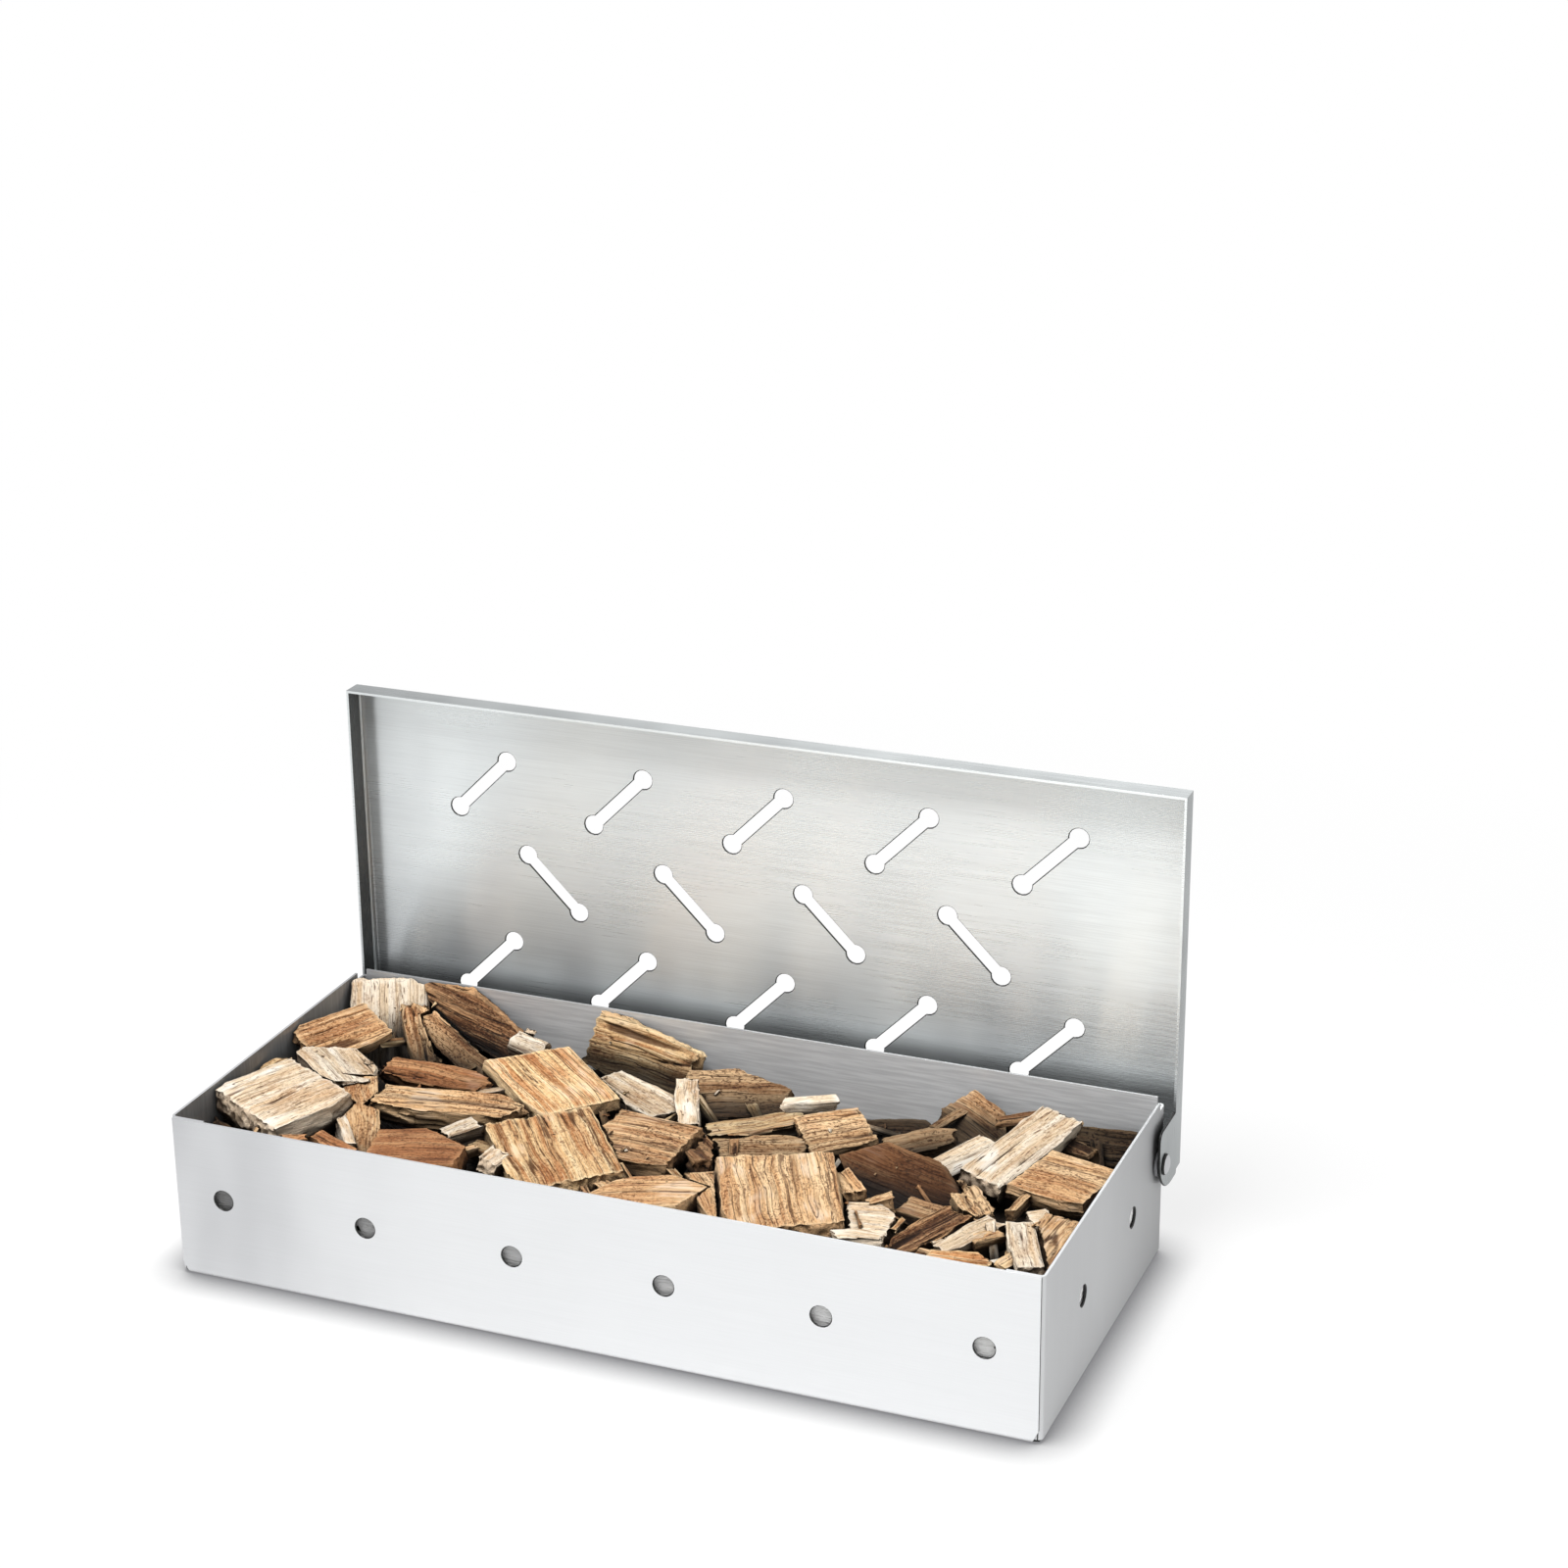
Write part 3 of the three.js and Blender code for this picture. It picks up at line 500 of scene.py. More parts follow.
def new_surface(name):
    """A material with a principled shader, and its tree and shader."""
    material = bpy.data.materials.new(name)
    material.use_nodes = True
    tree = material.node_tree
    tree.nodes.clear()
    shader = add_node(tree, "ShaderNodeBsdfPrincipled")
    add_node(tree, "ShaderNodeOutputMaterial", {"Surface": shader.outputs[0]})
    return material, tree, shader


def grained(tree, place, scales, detail=3.0, roughness=0.55):
    """Noise over a place in metres, with its own count to the metre in each direction."""
    spread = add_node(tree, "ShaderNodeMapping", {"Vector": place, "Scale": scales})
    made = add_node(
        tree, "ShaderNodeTexNoise",
        {"Vector": spread.outputs[0], "Scale": 1.0, "Detail": detail, "Roughness": roughness})
    return made.outputs[0]


def ranged(tree, value, low, high, to_low=0.0, to_high=1.0):
    """A value eased from one range to another."""
    made = add_node(
        tree, "ShaderNodeMapRange",
        {"Value": value, "From Min": low, "From Max": high, "To Min": to_low, "To Max": to_high},
        interpolation_type="SMOOTHSTEP")
    return made.outputs[0]


def reckon(tree, operation, first, second):
    """One sum of two values."""
    return add_node(tree, "ShaderNodeMath", {0: first, 1: second}, operation=operation).outputs[0]


def blended(tree, share, first, second, blend="MIX"):
    """Two colours mixed by a share."""
    made = add_node(tree, "ShaderNodeMix", data_type="RGBA", blend_type=blend)
    sockets = [socket for socket in made.inputs if socket.enabled]
    for socket, value in zip(sockets, (share, first, second)):
        feed(tree, socket, value)
    return next(socket for socket in made.outputs if socket.enabled)


def toned(tree, share, colour, over):
    """A colour multiplied by another, by a share."""
    return blended(tree, share, colour, over, "MULTIPLY")


def attribute(tree, name, output="Fac"):
    """What the mesh keeps under a name."""
    return add_node(tree, "ShaderNodeAttribute", attribute_name=name).outputs[output]


def patterned(tree, place, patterns):
    """The noise of each pattern over a place."""
    return [grained(tree, place, *pattern) for pattern in patterns.values()]


def painted(tree, colour, layers):
    """A colour under thin layers: each has the pattern that it follows, the values where it starts
    and where it covers, its share and its colour."""
    for pattern, start, cover, share, over in layers:
        colour = blended(tree, ranged(tree, pattern, start, cover, 0.0, share), colour, over)
    return colour


def thin_lines(tree, pattern, width, share):
    """Thin lines where a pattern crosses the middle of its range."""
    middle = reckon(tree, "ABSOLUTE", reckon(tree, "SUBTRACT", pattern, 0.5), 0.0)
    return ranged(tree, middle, 0.002, width, share, 0.0)


def banded(tree, place, stops):
    """A grey that runs through the given tones, each with its place."""
    first, last = stops[0][0], stops[-1][0]
    share = add_node(
        tree, "ShaderNodeMapRange", {"Value": place, "From Min": first, "From Max": last})
    ramp = add_node(tree, "ShaderNodeValToRGB", {"Fac": share.outputs[0]})
    elements = ramp.color_ramp.elements
    while len(elements) < len(stops):
        elements.new(0.5)
    for element, (spot, tone) in zip(elements, stops):
        element.position = (spot - first) / (last - first)
        element.color = (*grey(tone), 1)
    return ramp.outputs["Color"]


def brushed_steel(
        name, colour, roughness, settings, marks=1.0, bareness=1.0, folds=PLAIN, hollows=PLAIN,
        behind=1.0, drag=0.0, painted_shade=(), rim_shade=None):
    """Satin sheet steel brushed along its second map direction, a little cloudy and scuffed, with
    painted shade in its corners, in its holes, on their rims and on the seams. The marks and the
    bareness are shares of the full brushing and of the bare metal in the settings. The folds and the
    hollows, which are painted reflection and shade, the painted shade and the rim shade are as
    listed at the top. Behind is the painted shade of the faces that look to the back, and the drag
    is how strongly the brush shows on the walls' inside."""
    material, tree, shader = new_surface(name)
    place = add_node(tree, "ShaderNodeUVMap", uv_map=BRUSH_MAP).outputs[0]
    spots = add_node(tree, "ShaderNodeSeparateXYZ", {"Vector": place}).outputs
    shaded, folded, hollow, backward, inward = (attribute(tree, key) for key in FACE_MARKS)
    across, along = 1 / settings.line_width, 1 / settings.line_length
    lines, bands, drags, scuffs = (
        grained(tree, place, (across * wide, along * long, 1), *kind)
        for wide, long, *kind in BRUSH_PATTERNS.values())
    clouds, wisps = patterned(tree, place, SHEET_PATTERNS)

    pale = linear(colour)
    tone = blended(tree, ranged(tree, lines, 0.36, 0.62), darkened(pale, 1 - 0.15 * marks), pale)
    tone = toned(tree, ranged(tree, bands, 0.35, 0.65, 0.10 * marks, 0.0), tone, grey(0.5))
    tone = toned(tree, ranged(tree, clouds, 0.35, 0.7, 0.0, 0.06), tone, grey(0.6))
    # Painted shade in corners and nooks, from the ambient occlusion
    corner_shade = add_node(tree, "ShaderNodeAmbientOcclusion", {"Distance": 10 * MILLIMETRE}, samples=8)
    tone = toned(tree, ranged(tree, corner_shade.outputs["AO"], 0.48, 0.15, 0.0, 0.6), tone, grey(0.3))
    # Painted reflection and shade: folded faces, end faces inside and faces that look to the back
    # are toned darker
    tone = toned(tree, folded, tone, banded(tree, spots["X"], folds))
    tone = toned(tree, 1.0, tone, banded(tree, hollow, hollows))
    tone = toned(tree, backward, tone, grey(behind))
    streaked = reckon(tree, "MULTIPLY", inward, ranged(tree, drags, 0.35, 0.65, drag, 0.0))
    tone = toned(tree, streaked, tone, DRAG_TONE)
    # Painted shade and reflection, thicker in wisps
    shade_thickness = ranged(tree, wisps, 0.3, 0.65, 1.0, 0.5)
    for direction, full, clear, share in painted_shade:
        fading = ranged(tree, spots[direction], full, clear, share, 0.0)
        tone = toned(tree, reckon(tree, "MULTIPLY", fading, shade_thickness), tone, PAINTED_SHADE_TONE)
    if rim_shade:
        full, clear, share = rim_shade
        fading = ranged(tree, spots["X"], full, clear, share, 0.0)
        tone = toned(tree, reckon(tree, "MULTIPLY", inward, fading), tone, grey(0.15))
    # Painted shade: the holes' walls, their rims and the seams are near black
    tone = blended(tree, shaded, tone, grey(0.02))

    spread = 0.05
    gloss = ranged(tree, lines, 0.25, 0.75, roughness - spread * marks, roughness + spread * marks)
    gloss = reckon(tree, "ADD", gloss, ranged(tree, clouds, 0.35, 0.7, 0.0, spread))
    height = reckon(tree, "ADD", lines, ranged(tree, scuffs, 0.64, 0.78, 0.0, -0.4))
    bump = add_node(
        tree, "ShaderNodeBump",
        {"Height": height, "Strength": 0.1 * marks, "Distance": 0.02 * MILLIMETRE})
    tangent = add_node(tree, "ShaderNodeTangent", direction_type="UV_MAP", uv_map=BRUSH_MAP)
    tree.links.new(tone, shader.inputs["Base Color"])
    tree.links.new(gloss, shader.inputs["Roughness"])
    tree.links.new(bump.outputs[0], shader.inputs["Normal"])
    tree.links.new(tangent.outputs[0], shader.inputs["Tangent"])
    shader.inputs["Metallic"].default_value = settings.bareness * bareness
    shader.inputs["Anisotropic"].default_value = 1.0
    return material


def split_wood(name, tone):
    """Dry split wood along the grain's own directions, darker in its pores, with painted shade in
    its cracks, grooves and clefts and painted light on its ridges, and paler along its rubbed edges."""
    late, stain, body, early = (linear(colour) for colour in WOOD_TONES[tone])
    striped, lined, pored, mottled, bleached, crevice_shade = WOOD_FIGURES[tone]
    material, tree, shader = new_surface(name)
    grain = attribute(tree, "grain", "Vector")
    relief, end, tone_and_shade, rub = (attribute(tree, key) for key in WOOD_MARKS)
    sway = add_node(tree, "ShaderNodeTexNoise", {"Vector": grain, "Scale": 40.0, "Detail": 2.0})
    drift = add_node(
        tree, "ShaderNodeVectorMath", {0: sway.outputs["Color"], 1: FIBRE_SWAY},
        operation="MULTIPLY")
    place = add_node(
        tree, "ShaderNodeVectorMath", {0: grain, 1: drift.outputs[0]}, operation="ADD").outputs[0]
    stripes, rings, hairs, streaks, fibres, pores = patterned(tree, place, FIBRE_PATTERNS)
    pits, patches, mottle = patterned(tree, grain, SPECK_PATTERNS)

    colour = painted(tree, body, (
        (stripes, 0.50, 0.60, striped, stain),
        (stripes, 0.47, 0.38, 0.7, early),
        (streaks, 0.46, 0.33, 0.75 * lined, late),
        (streaks, 0.53, 0.63, 0.6, early),
        (fibres, 0.47, 0.34, 0.4, late),
        (fibres, 0.54, 0.66, 0.3, early),
    ))
    colour = toned(tree, ranged(tree, patches, 0.54, 0.72, 0.0, 0.5), colour, stain)
    white = blended(tree, ranged(tree, streaks, 0.35, 0.6), early, BLEACHED)
    freckles = reckon(
        tree, "MULTIPLY", ranged(tree, mottle, 0.52, 0.60), ranged(tree, patches, 0.34, 0.56))
    colour = painted(tree, colour, ((patches, 0.44, 0.34, bleached, white),))
    colour = blended(tree, reckon(tree, "MULTIPLY", freckles, mottled), colour, late)
    colour = painted(tree, colour, ((mottle, 0.45, 0.36, 0.3 * mottled, early),))

    broken = ranged(tree, pits, 0.32, 0.5, 0.35, 1.0)
    lines = reckon(tree, "MULTIPLY", thin_lines(tree, rings, 0.020, lined), broken)
    dashed = ranged(tree, pits, 0.56, 0.42)
    thin = reckon(tree, "MULTIPLY", thin_lines(tree, hairs, 0.022, 0.65 * lined), dashed)
    holes = ranged(tree, pores, 0.65, 0.70, 0.0, pored)
    for marks, share in ((lines, 0.62), (thin, 0.8), (holes, 0.6)):
        colour = blended(tree, marks, colour, darkened(late, share))
    rough_end = blended(tree, ranged(tree, mottle, 0.36, 0.52), stain, body)
    colour = painted(tree, colour, (
        (pits, 0.75, 0.77, 0.9, darkened(late, 0.3)),
        # Painted shade in the grooves and cracks, and painted light on the ridges
        (relief, -0.35, -1.1, 0.85, darkened(late, 0.5)),
        (relief, 0.25, 0.8, 0.35, early),
        (end, 0.6, 0.9, 0.6, toned(tree, 1.0, rough_end, END_TONE)),
        (rub, 0.15, 0.8, 0.45, early),
    ))
    # Each corner's tone, with its painted shade
    shade = add_node(tree, "ShaderNodeCombineColor", {"Red": tone_and_shade, "Green": tone_and_shade, "Blue": tone_and_shade})
    colour = toned(tree, 1.0, colour, shade.outputs[0])
    if tone != "grey":
        colour = toned(tree, 1.0, colour, WARM_TONE)
    # Painted shade in the clefts between pieces, from the ambient occlusion
    cleft = add_node(tree, "ShaderNodeAmbientOcclusion", {"Distance": 9 * MILLIMETRE}, samples=8)
    deep = ranged(tree, cleft.outputs["AO"], 0.82, 0.36, 0.0, crevice_shade)
    colour = toned(tree, deep, colour, CREVICE_SHADE_TONE)

    height = reckon(tree, "ADD", streaks, reckon(tree, "MULTIPLY", fibres, 0.8))
    height = reckon(tree, "ADD", height, reckon(tree, "MULTIPLY", mottle, 0.35))
    height = reckon(tree, "SUBTRACT", height, reckon(tree, "MULTIPLY", holes, 0.4))
    height = reckon(tree, "SUBTRACT", height, lines)
    height = reckon(tree, "SUBTRACT", height, reckon(tree, "MULTIPLY", thin, 0.5))
    bump = add_node(
        tree, "ShaderNodeBump", {"Height": height, "Strength": 0.9, "Distance": 0.4 * MILLIMETRE})
    tree.links.new(colour, shader.inputs["Base Color"])
    tree.links.new(ranged(tree, streaks, 0.3, 0.7, 0.92, 0.75), shader.inputs["Roughness"])
    tree.links.new(bump.outputs[0], shader.inputs["Normal"])
    shader.inputs["Specular IOR Level"].default_value = 0.25
    return material


def wood_material(tone):
    """The material of one wood tone, made once."""
    name = f"split_{tone}_wood"
    return bpy.data.materials.get(name) or split_wood(name, tone)


# Steel pieces

def merged_copy(node):
    """A copy of a node's mesh, its loose triangles merged into flat faces."""
    bm = bmesh.new()
    bm.from_mesh(frame["nodes"][node].data)
    bmesh.ops.remove_doubles(bm, verts=bm.verts[:], dist=MERGE_DISTANCE)
    bmesh.ops.dissolve_limit(
        bm, angle_limit=FLAT_ANGLE, use_dissolve_boundaries=False,
        verts=bm.verts[:], edges=bm.edges[:])
    bm.normal_update()
    bm.faces.index_update()
    return bm


def crease(bm, angle):
    """Smooth faces, with crisp edges where the surface turns more than an angle."""
    for face in bm.faces:
        face.smooth = True
    for edge in bm.edges:
        edge.smooth = edge.calc_face_angle(math.pi) < angle


def as_mesh(bm, name):
    """A mesh from a bmesh, which is freed."""
    mesh = bpy.data.meshes.new(name)
    bm.to_mesh(mesh)
    bm.free()
    return mesh


def placed(name, data):
    """An object in the scene."""
    made = bpy.data.objects.new(name, data)
    bpy.context.scene.collection.objects.link(made)
    return made


def finished(bm, name, body, material):
    """A mesh object from a bmesh, riding on its body, without the normals that its node had."""
    mesh = as_mesh(bm, name)
    if "custom_normal" in mesh.attributes:
        mesh.attributes.remove(mesh.attributes["custom_normal"])
    mesh.materials.append(material)
    piece = placed(name, mesh)
    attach(piece, body)
    return piece


def brush_map(bm):
    """A map in metres: across the brushing, then along it. A sheet is brushed before it is
    folded, so the brushing runs along X on the long faces and up and down on the end faces."""
    layer = bm.loops.layers.uv.new(BRUSH_MAP)
    for face in bm.faces:
        normal = face.normal
        upright = abs(normal.x) > max(abs(normal.y), abs(normal.z))
        level = abs(normal.z) > abs(normal.y)
        for loop in face.loops:
            x, y, z = loop.vert.co
            if upright:
                loop[layer].uv = (y, z)
            elif level:
                loop[layer].uv = (y, x)
            else:
                loop[layer].uv = (z, x)


def cut_walls(bm):
    """The faces that were cut through a sheet: no wider than the sheet is thick."""
    found = set()
    for face in bm.faces:
        for edge in face.edges:
            if edge.calc_face_angle(0) < STEEP_ANGLE:
                continue
            normal = next(other for other in edge.link_faces if other is not face).normal
            places = [vert.co.dot(normal) for vert in face.verts]
            if max(places) - min(places) < CUT_WIDTH:
                found.add(face)
    return found


def extent(faces):
    """The lowest and the highest corner of some faces."""
    spots = [vert.co for face in faces for vert in face.verts]
    return [Vector([pick(spot[i] for spot in spots) for i in range(3)]) for pick in (min, max)]


def hole_loops(bm):
    """The cut faces that go round each hole, which close on themselves in a small loop."""
    left = sorted(cut_walls(bm), key=lambda face: face.index)
    loops = []
    while left:
        loop = [left.pop()]
        for face in loop:
            near = {other for edge in face.edges for other in edge.link_faces}
            loop += [other for other in left if other in near]
            left = [other for other in left if other not in near]
        low, high = extent(loop)
        if max(high - low) < HOLE_REACH:
            loops.append(loop)
    return loops


def rim_holes(bm, width):
    """Give each hole a narrow rim, and mark the rim and the hole's walls for painted shade."""
    shaded = bm.faces.layers.float.new("shaded")
    walls = {face for loop in hole_loops(bm) for face in loop}
    for face in walls:
        face[shaded] = 1.0
    edges = [edge for edge in bm.edges if len(walls.intersection(edge.link_faces)) == 1]
    if edges:
        rims = bmesh.ops.bevel(
            bm, geom=edges, offset=width, offset_type="OFFSET", segments=1, profile=0.5,
            affect="EDGES", material=-1)["faces"]
        for face in rims:
            face[shaded] = 1.0


def shade_seams(bm):
    """Darken the upright cut ends of the long walls, which stand in shade against the tabs."""
    shaded = bm.faces.layers.float["shaded"]
    for face in cut_walls(bm):
        low, high = extent([face])
        outside = tray_high.x - 2 * SHEET < max(high.x, -low.x) < tray_high.x
        if outside and SEAM_REACH < high.z - low.z < tray_high.z:
            face[shaded] = 1.0


def mark_shaded_faces(bm):
    """Mark the faces that are folded away from the front and the back, the end faces that look
    inwards, the faces that look to the back, and the walls' inside. The first three carry painted
    reflection and shade."""
    folded, hollow, backward, inward = (bm.faces.layers.float.new(key) for key in FACE_MARKS[1:])
    for face in bm.faces:
        normal, centre = face.normal, face.calc_center_median()
        inside = normal.x * centre.x < 0
        face[folded] = 0.0 if inside else 1 - abs(normal.y)
        face[hollow] = abs(normal.x) if inside else 0.0
        face[backward] = max(0.0, normal.y)
        face[inward] = float(normal.xy.dot(centre.xy) < 0)


def sheet_piece(node, body, material, settings):
    """A steel piece with the shape of its node, its cut edges rubbed down."""
    bm = merged_copy(node)
    rim_holes(bm, settings.punched_edge)
    shade_seams(bm)
    mark_shaded_faces(bm)
    crease(bm, settings.sharp_angle)
    brush_map(bm)
    piece = finished(bm, f"{node}_sheet", body, material)
    edge = piece.modifiers.new("Rubbed edge", "BEVEL")
    edge.width = settings.cut_edge
    edge.segments = 2
    edge.limit_method = "ANGLE"
    edge.angle_limit = settings.sharp_angle
    edge.miter_outer = "MITER_ARC"
    flats = piece.modifiers.new("Flat faces", "WEIGHTED_NORMAL")
    flats.keep_sharp = True
    flats.weight = 100
    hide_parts(node)
    return piece


class SMOKER_OT_tray(bpy.types.Operator):
    """Dress the folded tray"""

    bl_idname = "smoker.tray"
    bl_label = "Tray"

    def execute(self, context):
        settings = context.scene.smoker_steel
        steel = brushed_steel(
            "tray_steel", settings.tray_colour, settings.roughness, settings, marks=0.14,
            bareness=0.4, folds=TRAY_FOLDS, hollows=TRAY_HOLLOWS, drag=0.35, painted_shade=TRAY_PAINTED_SHADE)
        sheet_piece("tray", TRAY_BODY, steel, settings)
        return {"FINISHED"}


class SMOKER_OT_lid(bpy.types.Operator):
    """Dress the slotted lid"""

    bl_idname = "smoker.lid"
    bl_label = "Lid"

    def execute(self, context):
        settings = context.scene.smoker_steel
        steel = brushed_steel(
            "lid_steel", settings.lid_colour, settings.roughness * 0.9, settings, marks=0.5,
            bareness=1.1, folds=LID_FOLDS, hollows=LID_HOLLOWS, behind=0.76,
            painted_shade=LID_PAINTED_SHADE, rim_shade=LID_RIM_SHADE)
        sheet_piece("lid", LID_BODY, steel, settings)
        return {"FINISHED"}


class SMOKER_OT_hinge(bpy.types.Operator):
    """Dress the hinge rivets and the spacer washers"""

    bl_idname = "smoker.hinge"
    bl_label = "Rivets and washers"

    def execute(self, context):
        settings = context.scene.smoker_steel
        rivet = brushed_steel(
            "rivet_steel", settings.rivet_colour, settings.roughness + 0.05, settings, marks=0.5)
        washer = brushed_steel(
            "washer_steel", settings.washer_colour, settings.roughness + 0.1, settings, marks=0.5)
        for side in ("left", "right"):
            sheet_piece(f"hinge_rivet_{side}", TRAY_BODY, rivet, settings)
            sheet_piece(f"spacer_washer_{side}", TRAY_BODY, washer, settings)
        return {"FINISHED"}


# Wood

def clamped(value, low, high):
    """A value held between two limits."""
    return max(low, min(high, value))


def chip_axes(bm, heading):
    """Directions along a chip's grain, across it and through it, from its broadest face."""
    def spread(face):
        """The area of all faces that look the same way as one, or the other way."""
        return sum(other.calc_area() for other in bm.faces
                   if abs(other.normal.dot(face.normal)) > SAME_WAY)

    through = max(bm.faces, key=spread).normal.copy()
    if through.z < 0:
        through.negate()
    turn = math.radians(heading)
    level = Vector((math.cos(turn), math.sin(turn), 0))
    along = (level - through * level.dot(through)).normalized()
    return along, through.cross(along), through


def strip_grid(bm, axes, settings, coarseness):
    """Cut a chip's faces into a grid that runs with its grain."""
    for direction, step in zip(axes, (settings.stretch, settings.strip, settings.strip)):
        places = [vert.co.dot(direction) for vert in bm.verts]
        low, high = min(places), max(places)
        count = max(2, round((high - low) / (step * coarseness)))
        for i in range(1, count):
            place = low + (high - low) * i / count
            bmesh.ops.bisect_plane(
                bm, geom=bm.verts[:] + bm.edges[:] + bm.faces[:], dist=MERGE_DISTANCE,
                plane_co=direction * place, plane_no=direction)
    bm.normal_update()


def reaches(places, strip, stretch):
    """How far each strip of fibres reaches along the grain, and each slice across it."""
    ends, sides = {}, {}
    for along, across, through in places.values():
        for table, key, value in (
            (ends, (round(across / strip), round(through / strip)), along),
            (sides, (round(along / stretch), round(through / strip)), across),
        ):
            low, high = table.get(key, (value, value))
            table[key] = (min(low, value), max(high, value))
    return ends, sides


def wear(place, span, reach):
    """How close a place lies to the low and the high end of a span: 1 at the end, and 0 beyond
    a reach."""
    low, high = span
    return max(0.0, 1 - (place - low) / reach), max(0.0, 1 - (high - place) / reach)


def rough(x, y, z, pattern):
    """Noise from -1 to 1 at a place in a pattern."""
    counts, shifts = pattern
    return noise.noise(Vector((
        x * counts[0] + shifts[0], y * counts[1] + shifts[1], z * counts[2] + shifts[2])))


def lifted(spot, facing_end, ridge, ledge, crack, sway):
    """How far ridges, ledges, cracks and a slow swell lift a spot on a chip, and the relief that
    the material shows there."""
    x, y, z = spot
    bent = y + BEND * rough(x, y, z, BENDS)
    rib = rough(x, bent, z, RIBS) + 0.5 * rough(x, bent, z, FINE_RIBS)
    shelf = clamped(rough(x, bent, z, SHELVES) * 8, -1.0, 1.0)
    split = max(0.0, 1 - abs(rough(x, bent, z, CRACKS)) / CRACK_WIDTH)
    split *= clamped(rough(x, y, z, CRACK_ENDS) * 3 + 0.4, 0.0, 1.0)
    lift = (ridge * rib + ledge * 0.5 * shelf - crack * split) * (1 - facing_end)
    lift += sway * 0.5 * rough(x, y, z, SWELLS)
    depth = clamped(rib * 0.9 + shelf * 0.25 * (ledge > 0) - split * 1.6, -1.5, 1.5)
    return lift, depth * min(1.0, ridge / FULL_RIDGE)


def frayed(spot, near_ends, near_sides, ragged):
    """How far a spot moves along the grain where the ends are torn, and across it where the sides
    are frayed, by how close it lies to either end and to either side."""
    x, y, z = spot
    tear = abs(rough(y, z, 0, TEARS)) * 1.5 + 0.5 * abs(rough(y, z, 0, FINE_TEARS))
    chew = abs(rough(x, z, 0, CHEWS)) * 1.4 + 0.15
    by_end, by_side = (near[0] ** 2 - near[1] ** 2 for near in (near_ends, near_sides))
    return ragged * tear * by_end, ragged * 0.5 * chew * by_side


def weather(bm, axes, cut, settings, seed, lights=FULL_LIGHTS, buried=True):
    """Turn a gridded block into split wood, and keep its grain for the material. The lights are
    the shares sent back from its back and its front, which are painted light and shade. Buried wood
    has painted shade that deepens the deeper it lies."""
    ridge, ledge, crack, ragged, sway = (value * MILLIMETRE for value in CUTS[cut])
    grain = bm.verts.layers.float_vector.new("grain")
    relief, end_grain, tone_and_shade, rub = (bm.verts.layers.float.new(key) for key in WOOD_MARKS)
    shade = random.Random(seed).uniform(*TINTS)
    front, rear = (pick(vert.co.y for vert in bm.verts) for pick in (min, max))
    centre = sum((vert.co for vert in bm.verts), Vector()) / len(bm.verts)
    offset = Vector([seed * step for step in GRAIN_STEPS])
    turn = Matrix(axes)
    back = turn.transposed()
    places = {vert: turn @ (vert.co - centre) for vert in bm.verts}
    strip, stretch = settings.strip, settings.stretch
    ends, sides = reaches(places, strip, stretch)
    moved = []
    for vert, place in places.items():
        along, across, through = place
        spot = place + offset
        normal = turn @ vert.normal
        facing_end = abs(normal.x)
        lift, depth = lifted(spot, facing_end, ridge, ledge, crack, sway)
        shifted = place + normal * lift
        shifted.y += sway * 1.6 * rough(*spot, SLANTS) * (1 - abs(normal.z))
        row = round(through / strip)
        near_ends = wear(along, ends[(round(across / strip), row)], settings.end_reach)
        near_sides = wear(across, sides[(round(along / stretch), row)], settings.side_reach)
        torn, chewed = frayed(spot, near_ends, near_sides, ragged)
        shifted.x += torn
        shifted.y += chewed
        worn = max(*near_ends, *near_sides) ** 3
        shifted -= normal * worn * settings.edge_wear
        moved.append((vert, centre + back @ shifted, spot, depth, facing_end, worn))
    for vert, resting, spot, depth, facing_end, worn in moved:
        vert.co = kept_in_tray(resting)
        vert[grain] = spot
        vert[relief] = depth
        vert[end_grain] = facing_end
        share = (rear - vert.co.y) / (rear - front)
        vert[tone_and_shade] = shade * (lights[0] + (lights[1] - lights[0]) * share)
        if buried:
            vert[tone_and_shade] *= depth_light(vert.co, settings)
        vert[rub] = worn
    bm.normal_update()
    crease(bm, settings.sharp_angle)


def depth_light(spot, settings):
    """The share of its colour that wood shows at a place in the heap: painted shade that deepens
    under the rim, reaching the under light sooner at the right end.
    """
    near, left_deep, right_deep = (tray_high.z - depth for depth in SHADE_DEPTHS)
    deep = left_deep + (right_deep - left_deep) * to_right(spot)
    share = clamped((spot.z - deep) / (near - deep), 0.0, 1.0)
    return settings.under_light + (1 - settings.under_light) * share


def to_right(spot):
    """How far a place lies along the tray: 0 at its left end and 1 at its right."""
    return (spot.x - tray_low.x) / (tray_high.x - tray_low.x)


def kept_in_tray(spot):
    """A point, held inside the tray's sheet and under the shut lid."""
    gap = SHEET + WOOD_CLEARANCE
    return Vector((
        clamped(spot.x, tray_low.x + gap, tray_high.x - gap),
        clamped(spot.y, tray_low.y + gap + SHEET, tray_high.y - gap - SHEET),
        clamped(spot.z, tray_low.z + gap, tray_high.z + WOOD_RISE),
    ))


def wood_piece(node, number, heading, cut, settings, coarseness, lights=FULL_LIGHTS):
    """A chip with the place and the outline of its node, split along its grain."""
    parts = frame["record"]["subparts"]
    slot = next(part["material_slot"] for part in parts if part["node"] == node)
    bm = merged_copy(node)
    axes = chip_axes(bm, heading)
    strip_grid(bm, axes, settings, coarseness)
    weather(bm, axes, cut, settings, settings.seed + number, lights)
    material = wood_material(slot.removeprefix("wood_"))
    piece = finished(bm, f"{node}_split", TRAY_BODY, material)
    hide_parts(node)
    return piece


